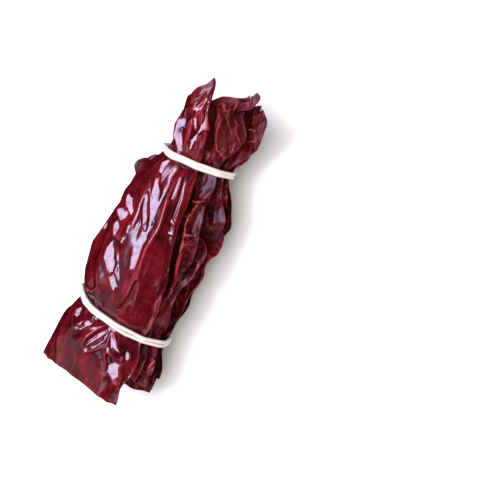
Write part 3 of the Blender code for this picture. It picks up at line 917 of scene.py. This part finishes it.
def ridges(points, normals, step):
    """How sharply the surface bends over that many grid steps: above 0 on ridges and below 0 in creases."""
    total = 0.0
    for axis in (0, 1):
        ahead, behind = np.roll(points, -step, axis=axis), np.roll(points, step, axis=axis)
        if axis == 0:
            ahead[-step:], behind[:step] = points[-step:], points[:step]
        span = np.linalg.norm(ahead - behind, axis=-1) / 2 + 0.05
        total = total - ((ahead + behind - 2 * points) * normals).sum(axis=-1) / span**2
    return total


def column_angles(number, columns):
    """The angles round a pepper's section at which its grid has its columns."""
    even = np.linspace(0, 2 * math.pi, columns, endpoint=False)
    if number == FRONT:
        return even + TOP_CROWDING * np.cos(even)
    return even - SIDE_CROWDING * np.sin(2 * even) / 2


def cut_edge(number, across, over):
    """How far a pepper's cut edge lies from its mouth, round its section."""
    wave = RIM_WAVE * rim_noise[number](1.6 * across + 5, 0.6 * over + 5)
    if number == FRONT:
        left, right = sides(number, np.array([PEPPERS[number]["mouth"]]))
        return FRONT_RIM_WAVE * wave + front_rim((left + right) / 2 + (right - left) / 2 * across)
    hollow = HOLLOW.get(number, 0.0) * ease((across - HOLLOW_START) / HOLLOW_RUN)
    return wave + RIM_SLOPE * np.maximum(across, 0) + hollow


def bend_end(number, points, form, across, beyond):
    """Moves a pepper's points where its end runs on, buckles or leans and where its side is pressed in."""
    x, y, _ = form
    points[..., 1] += tip_edge(number, across, y)
    if number == FRONT:
        drawn_in = TIP_SHRINK * (sides(number, y)[1] - x) - TIP_LEAN * ease((160 - y) / 8)
        points[..., 0] += ease((y - 143) / 11) * drawn_in
    else:
        buckle = fold_noise[number](*scaled((points[..., 0], points[..., 1]), BUCKLE_LENGTHS), 3.5)
        points[..., 2] += TIP_BUCKLE * beyond * buckle
    if number in CREVICE_DEPTHS:
        distance, share = line_distance(x, y, photo_spots(FRONT - 1, CREVICE))
        points[..., 2] -= CREVICE_DEPTHS[number] * drawn_out(share, 0.1) * bell(distance, CREVICE_WIDTH)
    if number in TIP_FOLDS:
        points[..., 2] += beyond * named_folds(number, TIP_FOLDS[number], x, y)
    if number == FRONT - 1:
        depth, middle, reach = SECOND_NOTCH
        points[..., 0] -= depth * ease(across / 0.8) * bell(y - middle, reach)
        lean, start, run = SECOND_LEAN
        points[..., 0] += lean * ease((y - start) / run)


def fine_pepper(number, folds):
    """The fine grid of one pepper in the model's millimetres, and what its finish reads at each point."""
    mouth, tip = PEPPERS[number]["mouth"], PEPPERS[number]["tip"]
    rows, columns = (FRONT_ROWS, FRONT_COLUMNS) if number == FRONT else (ROWS, COLUMNS)
    rows = int(rows * (tip - mouth) / BODY_LENGTH)
    angles = column_angles(number, columns)
    across, over = np.cos(angles), np.sin(angles)
    depth = np.linspace(1, 0, SLIT_ROWS) ** 1.2
    outside = np.linspace(mouth, tip - TIP_END, rows)
    station = np.concatenate([mouth + depth * MOUTH_DEPTH, [mouth - LIP], outside])[:, None]
    closing = np.concatenate([0.1 + 0.9 * ease((1 - depth) / 0.5), np.ones(rows + 1)])
    inset = np.concatenate([np.full(SLIT_ROWS, SKIN), [SKIN / 2], np.zeros(rows)])
    outward = np.concatenate([-np.ones(SLIT_ROWS), [0.0], np.ones(rows)])[:, None]
    y = station + cut_edge(number, across, over) * np.exp(-np.abs(station - mouth) / RIM_FADE)
    angle = np.broadcast_to(angles[None, :], y.shape)
    *form, middle = skin_form(number, y, angle, inset[:, None], closing[:, None], fine=True)
    points = warp(*form, True)
    normals = grid_normals(points)
    room = CREASE_ROOM * np.abs(form[2] - middle) / np.maximum(np.abs(normals[..., 2]), 0.15)
    height = np.maximum(relief(number, form, angle, folds), -room)
    points = points + normals * (height * outward)[..., None]
    beyond = ease((y - 149) / 5 if number == FRONT else (y - UPPER_BAND["y"] - 5) / 10)
    bend_end(number, points, form, across, beyond)
    normals = grid_normals(points)
    near, far = (ridges(points, normals, step) for step in RIDGE_STEPS)
    points = points + placement()
    points[..., 2] = np.maximum(points[..., 2], 0)
    return points, {
        "ridge": np.tanh(0.9 * (near + 0.5 * far)),
        "inside": np.clip(-outward, 0, 1) * np.ones(columns),
        "lip": np.exp(-np.maximum(y - mouth, 0) / LIP_FADE),
        "worn": beyond,
    }


def added(name, data):
    """A new object in the scene."""
    made = bpy.data.objects.new(name, data)
    bpy.context.scene.collection.objects.link(made)
    return made


def grid_object(name, points, attributes, material):
    """A closed mesh from a grid whose columns close round, with a point at each end."""
    rows, columns = points.shape[:2]
    ends = np.stack([points[0].mean(axis=0), points[-1].mean(axis=0)])
    corners = np.concatenate([points.reshape(-1, 3), ends]) * MM
    i, j = np.meshgrid(np.arange(rows - 1), np.arange(columns), indexing="ij")
    after = (j + 1) % columns
    ring = i * columns
    quads = np.stack([ring + j, ring + after, ring + columns + after, ring + columns + j], axis=-1)
    edge = np.arange(columns)
    next_edge = (edge + 1) % columns
    first, last = rows * columns, rows * columns + 1
    top = (rows - 1) * columns
    low = np.stack([np.full(columns, first), next_edge, edge], axis=-1)
    high = np.stack([np.full(columns, last), top + edge, top + next_edge], axis=-1)
    faces = quads.reshape(-1, 4).tolist() + low.tolist() + high.tolist()
    mesh = bpy.data.meshes.new(name)
    mesh.from_pydata(corners.tolist(), [], faces)
    mesh.update()
    for key, values in attributes.items():
        whole = np.append(values.ravel(), [values[0].mean(), values[-1].mean()])
        layer = mesh.attributes.new(key, "FLOAT", "POINT")
        layer.data.foreach_set("value", whole.astype(np.float32))
    mesh.shade_smooth()
    mesh.materials.append(material)
    return added(name, mesh)


def keep(piece, node):
    """Hands a finished piece to the frame in place of its plain solid."""
    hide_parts(node)
    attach(piece, BODY)


class Value:
    """A number that a material works out, so that Python's operators add its Math nodes."""

    def __init__(self, tree, socket):
        self.tree = tree
        self.socket = socket

    def math(self, operation, other):
        return self.tree.node("ShaderNodeMath", {"operation": operation}, {0: self, 1: other})

    def __add__(self, other):
        return self.math("ADD", other)

    __radd__ = __add__

    def __mul__(self, other):
        return self.math("MULTIPLY", other)

    __rmul__ = __mul__

    def __sub__(self, other):
        return self.math("SUBTRACT", other)

    def __rsub__(self, other):
        return (self * -1.0).math("ADD", other)

    def span(self, low, high, to_low=0.0, to_high=1.0):
        """This value's place between low and high, eased and held between the new limits."""
        values = {"Value": self, "From Min": low, "From Max": high, "To Min": to_low, "To Max": to_high}
        return self.tree.node("ShaderNodeMapRange", {"interpolation_type": "SMOOTHSTEP"}, values)


class Tree:
    """The nodes of one material."""

    def __init__(self, name):
        self.material = bpy.data.materials.new(name)
        self.material.use_nodes = True
        self.tree = self.material.node_tree
        self.shader = self.tree.nodes["Principled BSDF"]

    def node(self, kind, settings, values, output=0):
        """Adds a node, fills its settings and then its sockets, and gives back one of its outputs."""
        made = self.tree.nodes.new(kind)
        for key, value in settings.items():
            setattr(made, key, value)
        self.fill(made, values)
        return Value(self, made.outputs[output])

    def fill(self, made, values):
        for key, value in values.items():
            socket = made.inputs[key]
            if isinstance(value, Value):
                self.tree.links.new(value.socket, socket)
            else:
                socket.default_value = value

    def place(self, stretch=(1.0, 1.0, 1.0)):
        """The piece's own coordinates, stretched."""
        spot = self.node("ShaderNodeTexCoord", {}, {}, output="Object")
        return self.node("ShaderNodeMapping", {}, {"Vector": spot, "Scale": stretch})

    def noise(self, place, scale, detail, roughness, distortion=0.0):
        values = {"Vector": place, "Scale": scale, "Detail": detail, "Roughness": roughness}
        return self.node("ShaderNodeTexNoise", {}, {**values, "Distortion": distortion})

    def mix(self, share, first, second):
        """A colour between two colours."""
        values = {"Factor": share, 6: first, 7: second}
        return self.node("ShaderNodeMix", {"data_type": "RGBA"}, values, output=2)

    def attribute(self, name):
        """What the mesh holds under that name."""
        return self.node("ShaderNodeAttribute", {"attribute_name": name}, {}, output="Fac")

    def bump(self, height, strength):
        """The normal of a finely uneven surface."""
        values = {"Height": height, "Strength": strength, "Distance": BUMP_DEPTH}
        return self.node("ShaderNodeBump", {}, values)


def shade(colour):
    """A property's colour with full opacity."""
    return (*colour, 1.0)


def pepper_skin(name, colours, roughness, coat, shine, dust, ridge_light_and_crease_shade, wear):
    """Dried pepper skin: deep red, with painted light on its ridges and painted shade in its creases, and a
    patchy shine.
    """
    tree = Tree(name)
    place = tree.place()
    ridge, inside, lip = (tree.attribute(key) for key in ("ridge", "inside", "lip"))
    blotch = tree.noise(place, *BLOTCHES)
    streak = tree.noise(tree.place(STREAK_STRETCH), *STREAKS)
    grain = tree.noise(place, *GRAIN)
    mottle = tree.noise(place, *MOTTLE)
    dark, plain, bright = (shade(colour) for colour in colours)
    fleck = tree.node(
        "ShaderNodeTexVoronoi", {"feature": "F1"}, {"Vector": place, "Scale": FLECKS, "Randomness": 1.0}
    )
    # Painted highlight: a pale mask on the sharpest ridges, broken up by mottle and streaks.
    edge = ridge.span(0.4, 0.95) * mottle.span(0.35, 0.6, 0.25, 1.0) * streak.span(0.3, 0.6, 0.4, 1.0)
    worn = tree.attribute("worn") * wear * blotch.span(0.3, 0.6, 0.5, 1.0)
    specks = fleck.span(0.16, 0.05) * mottle.span(0.52, 0.72)
    layers = (
        (streak.span(0.5, 0.78) * 0.55, bright),
        # Painted light: the ridges lightened towards the bright colour.
        (ridge.span(0.05, 0.75) * (0.7 * ridge_light_and_crease_shade), bright),
        # Painted shade: the creases darkened towards near black.
        (ridge.span(-0.05, -0.8) * (0.85 * ridge_light_and_crease_shade), shade(CREASE_PAINTED_SHADE)),
        # Painted highlight in the pale ridge colour on the sharpest ridges.
        (edge * (0.6 * ridge_light_and_crease_shade * wear), shade(RIDGE_PAINTED_HIGHLIGHT)),
        (mottle.span(0.48, 0.7) * streak.span(0.4, 0.65) * (0.4 * dust), shade(DUST_COLOUR)),
        (worn * 0.6, shade(WORN_COLOUR)),
        (specks * dust, shade(DUST_COLOUR)),
        (lip * mottle.span(0.42, 0.6) * 0.4, shade(TORN_COLOUR)),
        (inside, tree.mix(mottle.span(0.35, 0.65), shade(INNER_DARK), shade(INNER_LIGHT))),
    )
    colour = tree.mix(blotch.span(0.35, 0.68), dark, plain)
    for share, over in layers:
        colour = tree.mix(share, colour, over)
    gloss = blotch.span(0.3, 0.7) * 0.06 + mottle.span(0.4, 0.75) * 0.06 + roughness
    finish = {
        "Base Color": colour,
        "Roughness": gloss + inside * 0.35 + specks * 0.3 + worn * 0.12,
        "Coat Weight": (1 - inside) * (1 - worn) * coat * mottle.span(0.75, 0.4, 0.35, 1.0),
        "Coat Roughness": 0.11,
        "Coat IOR": 1.5,
        "IOR": 1.45,
        "Specular IOR Level": shine,
        "Specular Tint": shade(SHINE_TINT),
        "Normal": tree.bump(grain * 0.2 + mottle * 0.4 + streak * 0.5, 0.2),
    }
    tree.fill(tree.shader, finish)
    return tree.material


def band_rubber(colour):
    """Creamy white rubber, dulled by fine powder and a little grime."""
    tree = Tree("white_rubber")
    place = tree.place()
    powder = tree.noise(place, *POWDER)
    grime = tree.noise(place, *GRIME)
    grubby = tuple(part * tint for part, tint in zip(colour, GRIME_TINT))
    finish = {
        "Base Color": tree.mix(grime.span(0.45, 0.75) * 0.6, shade(colour), shade(grubby)),
        "Roughness": powder.span(0.3, 0.7, 0.42, 0.62),
        "Subsurface Weight": 0.15,
        "Subsurface Scale": 0.002,
        "Normal": tree.bump(powder, 0.3),
    }
    tree.fill(tree.shader, finish)
    return tree.material


def loop_round(points, band, distance):
    """The line of a tight loop round the points in a band's strip, and which way each of its points faces."""
    near = points[band_away(points[:, 0], points[:, 1], band) < STRIP / 2][:, [0, 2]]
    turns = np.linspace(0, 2 * math.pi, BAND_TURNS, endpoint=False)
    normals = np.stack([np.cos(turns), np.sin(turns)], axis=-1)
    loop = near[np.argmax(normals @ near.T, axis=1)] + distance * normals
    closed = np.vstack([loop, loop[:1]])
    run = np.concatenate([[0], np.cumsum(np.linalg.norm(np.diff(closed, axis=0), axis=1))])
    even = np.linspace(0, run[-1], BAND_POINTS, endpoint=False)
    x, z = (np.interp(even, run, closed[:, i]) for i in (0, 1))
    return x, z, np.interp(even, run, np.append(turns, 2 * math.pi))


def band_route(points, band, strand, spacing):
    """The line of a rubber band wound twice round the stack, its turns crossing underneath."""
    x, z, facing = loop_round(points, band, strand / 2 + BAND_CLEARANCE)
    route = []
    for turn, sign in ((0, -1.0), (1, 1.0)):
        progress = ease((facing - CROSSING_ANGLE) / CROSSING_SPREAD + 0.5)
        side = sign * (1 - 2 * progress)
        lift = turn * (1 - np.abs(2 * progress - 1)) * (strand + CROSSING_LIFT)
        px = x + lift * np.cos(facing)
        pz = z + lift * np.sin(facing)
        sway = STRAND_SWAY * fold_noise[turn](px / SWAY_LENGTH, 0.5 + turn, pz / SWAY_LENGTH)
        py = band["y"] + band["lean"] * px + side * spacing / 2 + sway
        route.append(np.stack([px, py, pz], axis=-1))
    return np.concatenate(route)


def strand_tree(material):
    """Geometry Nodes that give a closed line the body of a soft, slightly twisted rubber strand."""
    tree = bpy.data.node_groups.new("rubber_strand", "GeometryNodeTree")
    face = tree.interface
    face.new_socket("Geometry", in_out="INPUT", socket_type="NodeSocketGeometry")
    kinds = dict.fromkeys(("Strand Width", "Strand Thickness", "Twist", "Unevenness"), "NodeSocketFloat")
    sizes = {
        label: face.new_socket(label, in_out="INPUT", socket_type=kind).identifier
        for label, kind in {**kinds, "Seed": "NodeSocketInt"}.items()
    }
    face.new_socket("Geometry", in_out="OUTPUT", socket_type="NodeSocketGeometry")

    def add(kind, values=None, output=0, **settings):
        made = tree.nodes.new(kind)
        for key, value in settings.items():
            setattr(made, key, value)
        for key, value in (values or {}).items():
            if isinstance(value, bpy.types.NodeSocket):
                tree.links.new(value, made.inputs[key])
            else:
                made.inputs[key].default_value = value
        return made.outputs[output] if made.outputs else None

    def math_node(operation, first, second):
        return add("ShaderNodeMath", {0: first, 1: second}, operation=operation)

    def shaken(scale, detail, amount):
        """Noise on both sides of 0, up to that amount."""
        values = {"Vector": place, "W": seed, "Scale": scale, "Detail": detail}
        noise = add("ShaderNodeTexNoise", values, "Fac", noise_dimensions="4D")
        return math_node("MULTIPLY", math_node("SUBTRACT", noise, 0.5), amount)

    given = tree.nodes.new("NodeGroupInput").outputs
    place = add("GeometryNodeInputPosition")
    seed = math_node("MULTIPLY", given["Seed"], SEED_STEP)
    tilt = shaken(SWAY_SCALE, 1.0, given["Twist"])
    tilted = add("GeometryNodeSetCurveTilt", {"Curve": given["Geometry"], "Tilt": tilt})
    section = {"Width": given["Strand Thickness"], "Height": given["Strand Width"]}
    profile = add("GeometryNodeCurvePrimitiveQuadrilateral", section, mode="RECTANGLE")
    radius = math_node("MULTIPLY", given["Strand Thickness"], STRAND_ROUNDING)
    corners = {"Curve": profile, "Count": 4, "Radius": radius}
    rounded = add("GeometryNodeFilletCurve", corners, mode="POLY")
    body = add("GeometryNodeCurveToMesh", {"Curve": tilted, "Profile Curve": rounded})
    rough = shaken(ROUGH_SCALE, 2.0, given["Unevenness"])
    normal = add("GeometryNodeInputNormal")
    offset = add("ShaderNodeVectorMath", {0: normal, "Scale": rough}, operation="SCALE")
    moved = add("GeometryNodeSetPosition", {"Geometry": body, "Offset": offset})
    smooth = add("GeometryNodeSetShadeSmooth", {"Geometry": moved})
    real = add("GeometryNodeRealizeInstances", {"Geometry": smooth})
    done = add("GeometryNodeSetMaterial", {"Geometry": real, "Material": material})
    add("NodeGroupOutput", {0: done})
    return tree, sizes


def baked(name, line, tree, values, material):
    """The plain mesh that the Geometry Nodes make of a line."""
    line.name = name + "_line"
    modifier = line.modifiers.new("strand", "NODES")
    modifier.node_group = tree
    for identifier, value in values.items():
        modifier[identifier] = value
    bpy.context.view_layer.update()
    graph = bpy.context.evaluated_depsgraph_get()
    mesh = bpy.data.meshes.new_from_object(line.evaluated_get(graph), depsgraph=graph)
    line.modifiers.remove(modifier)
    bpy.data.objects.remove(line)
    mesh.name = name
    mesh.materials.clear()
    mesh.materials.append(material)
    mesh.shade_smooth()
    return added(name, mesh)


def closed_line(name, route):
    """A closed curve object through the points, in metres."""
    curve = bpy.data.curves.new(name, "CURVE")
    curve.dimensions = "3D"
    spline = curve.splines.new("POLY")
    spline.points.add(len(route) - 1)
    for point, place in zip(spline.points, route):
        point.co = (*(place * MM), 1.0)
    spline.use_cyclic_u = True
    return added(name, curve)


def colour_setting(name, description, default):
    return FloatVectorProperty(
        name=name, description=description, default=default, subtype="COLOR", size=3, min=0.0, max=1.0
    )


def share_setting(name, description, default, most=1.0):
    return FloatProperty(
        name=name, description=description, default=default, min=0.0, max=most, subtype="FACTOR"
    )


def length_setting(name, description, default, least=0.0005, most=0.006):
    return FloatProperty(
        name=name, description=description, default=default, min=least, max=most, unit="LENGTH"
    )


class PepperSettings(bpy.types.PropertyGroup):
    """How the peppers' skins look."""

    fold_height: share_setting("Fold Height", "How high folds stand, as a share of the real ones", 1.0, 2.0)
    deep_colour: colour_setting("Deep Colour", "The skin where it is darkest", (0.040, 0.0013, 0.0040))
    plain_colour: colour_setting("Plain Colour", "The skin as it mostly is", (0.125, 0.0022, 0.0060))
    # On ridges this colour is painted light; on the streaks it is the skin's own tone.
    bright_colour: colour_setting("Bright Colour", "The skin on its ridges", (0.30, 0.0060, 0.0130))
    front_roughness: share_setting("Front Roughness", "How dull the front pepper's skin is", 0.2)
    stack_roughness: share_setting("Stack Roughness", "How dull the skins behind it are", 0.25)


class BandSettings(bpy.types.PropertyGroup):
    """The size and colour of the rubber bands."""

    width: length_setting("Strand Width", "A strand's width along the bundle", 0.0017)
    thickness: length_setting("Strand Thickness", "A strand's thickness", 0.0015)
    spacing: length_setting("Strand Spacing", "From the middle of one turn to that of the other", 0.0016)
    twist: FloatProperty(
        name="Twist", description="How far a strand turns about itself on its way",
        default=math.radians(70), unit="ROTATION",
    )
    seed: IntProperty(name="Seed", description="Which random shape the strands take", default=4, min=0)
    colour: colour_setting("Rubber Colour", "The rubber's colour", (0.66, 0.63, 0.57))


class StageSettings(bpy.types.PropertyGroup):
    """The floor, the lights and the camera."""

    floor_colour: colour_setting("Floor Colour", "The floor's colour", (0.86, 0.86, 0.87))
    light: share_setting("Light", "The brightness of all the lights", 1.0, 10.0)
    distance: length_setting(
        "Camera Distance", "From the camera to the middle of the bundle", CAMERA_DISTANCE, 0.1, 10.0
    )


class PEPPERBUNDLE_OT_front_pepper(bpy.types.Operator):
    """Make the glossy pepper on top of the stack"""

    bl_idname = "pepperbundle.front_pepper"
    bl_label = "Front Pepper"

    def execute(self, context):
        settings = context.scene.bundle_peppers
        colours = (settings.deep_colour, settings.plain_colour, settings.bright_colour)
        skin = pepper_skin("glossy_pepper_skin", colours, settings.front_roughness, **FRONT_LOOK)
        points, attributes = fine_pepper(FRONT, settings.fold_height)
        node = PEPPERS[FRONT]["name"]
        keep(grid_object("front_pepper_skin", points, attributes, skin), node)
        return {"FINISHED"}


class PEPPERBUNDLE_OT_stacked_peppers(bpy.types.Operator):
    """Make the peppers that lie under the front one"""

    bl_idname = "pepperbundle.stacked_peppers"
    bl_label = "Stacked Peppers"

    def execute(self, context):
        settings = context.scene.bundle_peppers
        colours = (settings.deep_colour, settings.plain_colour, settings.bright_colour)
        # The skins behind are a darker copy of the front one's colours: partly their darker skin and partly
        # painted shade.
        colours = [tuple(part * STACK_DARKNESS_AND_SHADE for part in colour) for colour in colours]
        skin = pepper_skin("dark_pepper_skin", colours, settings.stack_roughness, **STACK_LOOK)
        for number in range(FRONT):
            node = PEPPERS[number]["name"]
            points, attributes = fine_pepper(number, settings.fold_height)
            keep(grid_object(node + "_skin", points, attributes, skin), node)
        return {"FINISHED"}


class PEPPERBUNDLE_OT_bands(bpy.types.Operator):
    """Wind the two rubber bands round the peppers"""

    bl_idname = "pepperbundle.bands"
    bl_label = "Rubber Bands"

    def execute(self, context):
        settings = context.scene.bundle_bands
        skins = [o for o in context.scene.objects if o.name.endswith("_skin") and o.type == "MESH"]
        if len(skins) != len(PEPPERS):
            raise RuntimeError("Make the peppers before the bands: the bands lie on them")
        corners = [np.array([corner.co for corner in skin.data.vertices]) / MM for skin in skins]
        points = np.concatenate(corners) - placement()
        material = band_rubber(settings.colour)
        tree, sizes = strand_tree(material)
        for number, band in enumerate(BANDS):
            route = band_route(points, band, settings.thickness / MM, settings.spacing / MM) + placement()
            values = {
                sizes["Strand Width"]: settings.width,
                sizes["Strand Thickness"]: settings.thickness,
                sizes["Twist"]: settings.twist,
                sizes["Unevenness"]: STRAND_UNEVENNESS,
                sizes["Seed"]: settings.seed + number,
            }
            line = closed_line(band["name"], route)
            piece = baked(band["name"] + "_rubber", line, tree, values, material)
            keep(piece, band["name"])
        return {"FINISHED"}


class PEPPERBUNDLE_OT_stage(bpy.types.Operator):
    """Set up the floor, the studio lights and the camera"""

    bl_idname = "pepperbundle.stage"
    bl_label = "Stage"

    def execute(self, context):
        settings = context.scene.bundle_stage
        floor(settings.floor_colour)
        for name, direction, distance, size, power, tint, mirrored in LIGHTS:
            area_light(name, direction, distance, size, power * settings.light, tint, mirrored)
        soft_world(settings.light)
        photo_camera(settings.distance)
        context.scene.view_settings.view_transform = "Standard"
        return {"FINISHED"}


class PEPPERBUNDLE_PT_panel(bpy.types.Panel):
    """The bundle's settings and the buttons that build it"""

    bl_idname = "PEPPERBUNDLE_PT_panel"
    bl_label = "Pepper Bundle"
    bl_space_type = "VIEW_3D"
    bl_region_type = "UI"
    bl_category = "Pepper Bundle"

    def draw(self, context):
        for group in (context.scene.bundle_peppers, context.scene.bundle_bands, context.scene.bundle_stage):
            box = self.layout.box()
            for key in group.__annotations__:
                box.prop(group, key)
        for operator in OPERATORS:
            self.layout.operator(operator.bl_idname)


def floor(colour):
    """A plain pale floor under the bundle."""
    bpy.ops.mesh.primitive_plane_add(size=FLOOR_SIZE)
    plane = bpy.context.object
    plane.name = "floor"
    tree = Tree("floor_paper")
    tree.fill(tree.shader, {"Base Color": shade(colour), "Roughness": 0.7, "Specular IOR Level": 0.2})
    plane.data.materials.append(tree.material)
    plane.visible_glossy = False


def area_light(name, direction, distance, size, power, tint, mirrored):
    """A soft light in that direction of the picture that faces the bundle."""
    light = bpy.data.lights.new(name, "AREA")
    light.shape = "RECTANGLE"
    light.size, light.size_y = size
    light.energy = power
    light.color = tint
    made = added(name, light)
    back = light_direction(direction)
    side = picture_axes(toward_camera())[1].cross(back).normalized()
    turned = Matrix((side, back.cross(side), back)).transposed().to_4x4()
    made.matrix_world = Matrix.Translation(seen_middle() + back * distance) @ turned
    made.visible_glossy = mirrored


def soft_world(strength):
    """An even pale surrounding that lights the stage and isn't mirrored."""
    world = bpy.data.worlds.new("soft_studio")
    world.use_nodes = True
    background = world.node_tree.nodes["Background"]
    background.inputs["Color"].default_value = (1.0, 0.99, 0.98, 1.0)
    background.inputs["Strength"].default_value = WORLD_STRENGTH * strength
    world.cycles_visibility.glossy = False
    bpy.context.scene.world = world


def light_direction(direction):
    """The direction from the bundle of a light that lies so far right, up and towards the camera."""
    toward = toward_camera()
    right, up = picture_axes(toward)
    return (right * direction[0] + up * direction[1] + toward * direction[2]).normalized()


def seen_middle():
    """The point of the bundle that the camera and the lights are set up around."""
    return Vector(placement() * MM) + Vector((0, *(part * MM for part in PHOTO_POINT)))


def toward_camera():
    """The direction from the bundle to the camera."""
    level, rise = math.cos(CAMERA_RISE), math.sin(CAMERA_RISE)
    return Vector((math.sin(CAMERA_SIDE) * level, rise, math.cos(CAMERA_SIDE) * level))


def camera_frame(distance):
    """The camera's place and the picture's right, up and back: it looks down on the leaning bundle."""
    middle = seen_middle()
    toward = toward_camera()
    place = middle + toward * distance
    right, up = picture_axes(toward)
    shift = (PHOTO_CENTRE - PHOTO_SPOT[0], PHOTO_SPOT[1] - PHOTO_CENTRE)
    target = middle + (right * shift[0] + up * shift[1]) * MM_PER_PIXEL * MM
    back = (place - target).normalized()
    return (place, *picture_axes(back), back)


def photo_camera(distance):
    """The camera at the photograph's angle."""
    place, right, up, back = camera_frame(distance)
    camera = bpy.data.cameras.new("photo_camera")
    camera.lens = camera.sensor_width * distance / (2 * PHOTO_CENTRE * MM_PER_PIXEL * MM)
    camera.clip_start = 0.01
    made = added("photo_camera", camera)
    turned = Matrix((right, up, back)).transposed().to_4x4()
    made.matrix_world = Matrix.Translation(place) @ turned
    bpy.context.scene.camera = made


def picture_axes(back):
    """The picture's right and up for a camera that looks against back, with the bundle leaning right."""
    ahead = (Vector((0, 1, 0)) - back * back.y).normalized()
    wide = ahead.cross(back)
    right = math.cos(LEAN) * wide + math.sin(LEAN) * ahead
    up = -math.sin(LEAN) * wide + math.cos(LEAN) * ahead
    return right, up


OPERATORS = (
    PEPPERBUNDLE_OT_front_pepper,
    PEPPERBUNDLE_OT_stacked_peppers,
    PEPPERBUNDLE_OT_bands,
    PEPPERBUNDLE_OT_stage,
)
CLASSES = (PepperSettings, BandSettings, StageSettings, *OPERATORS, PEPPERBUNDLE_PT_panel)


def register():
    for item in CLASSES:
        bpy.utils.register_class(item)
    bpy.types.Scene.bundle_peppers = PointerProperty(type=PepperSettings)
    bpy.types.Scene.bundle_bands = PointerProperty(type=BandSettings)
    bpy.types.Scene.bundle_stage = PointerProperty(type=StageSettings)


def unregister():
    del bpy.types.Scene.bundle_stage
    del bpy.types.Scene.bundle_bands
    del bpy.types.Scene.bundle_peppers
    for item in reversed(CLASSES):
        bpy.utils.unregister_class(item)


def main():
    register()
    bpy.ops.pepperbundle.front_pepper()
    bpy.ops.pepperbundle.stacked_peppers()
    bpy.ops.pepperbundle.bands()
    bpy.ops.pepperbundle.stage()


if __name__ == "__main__":
    main()
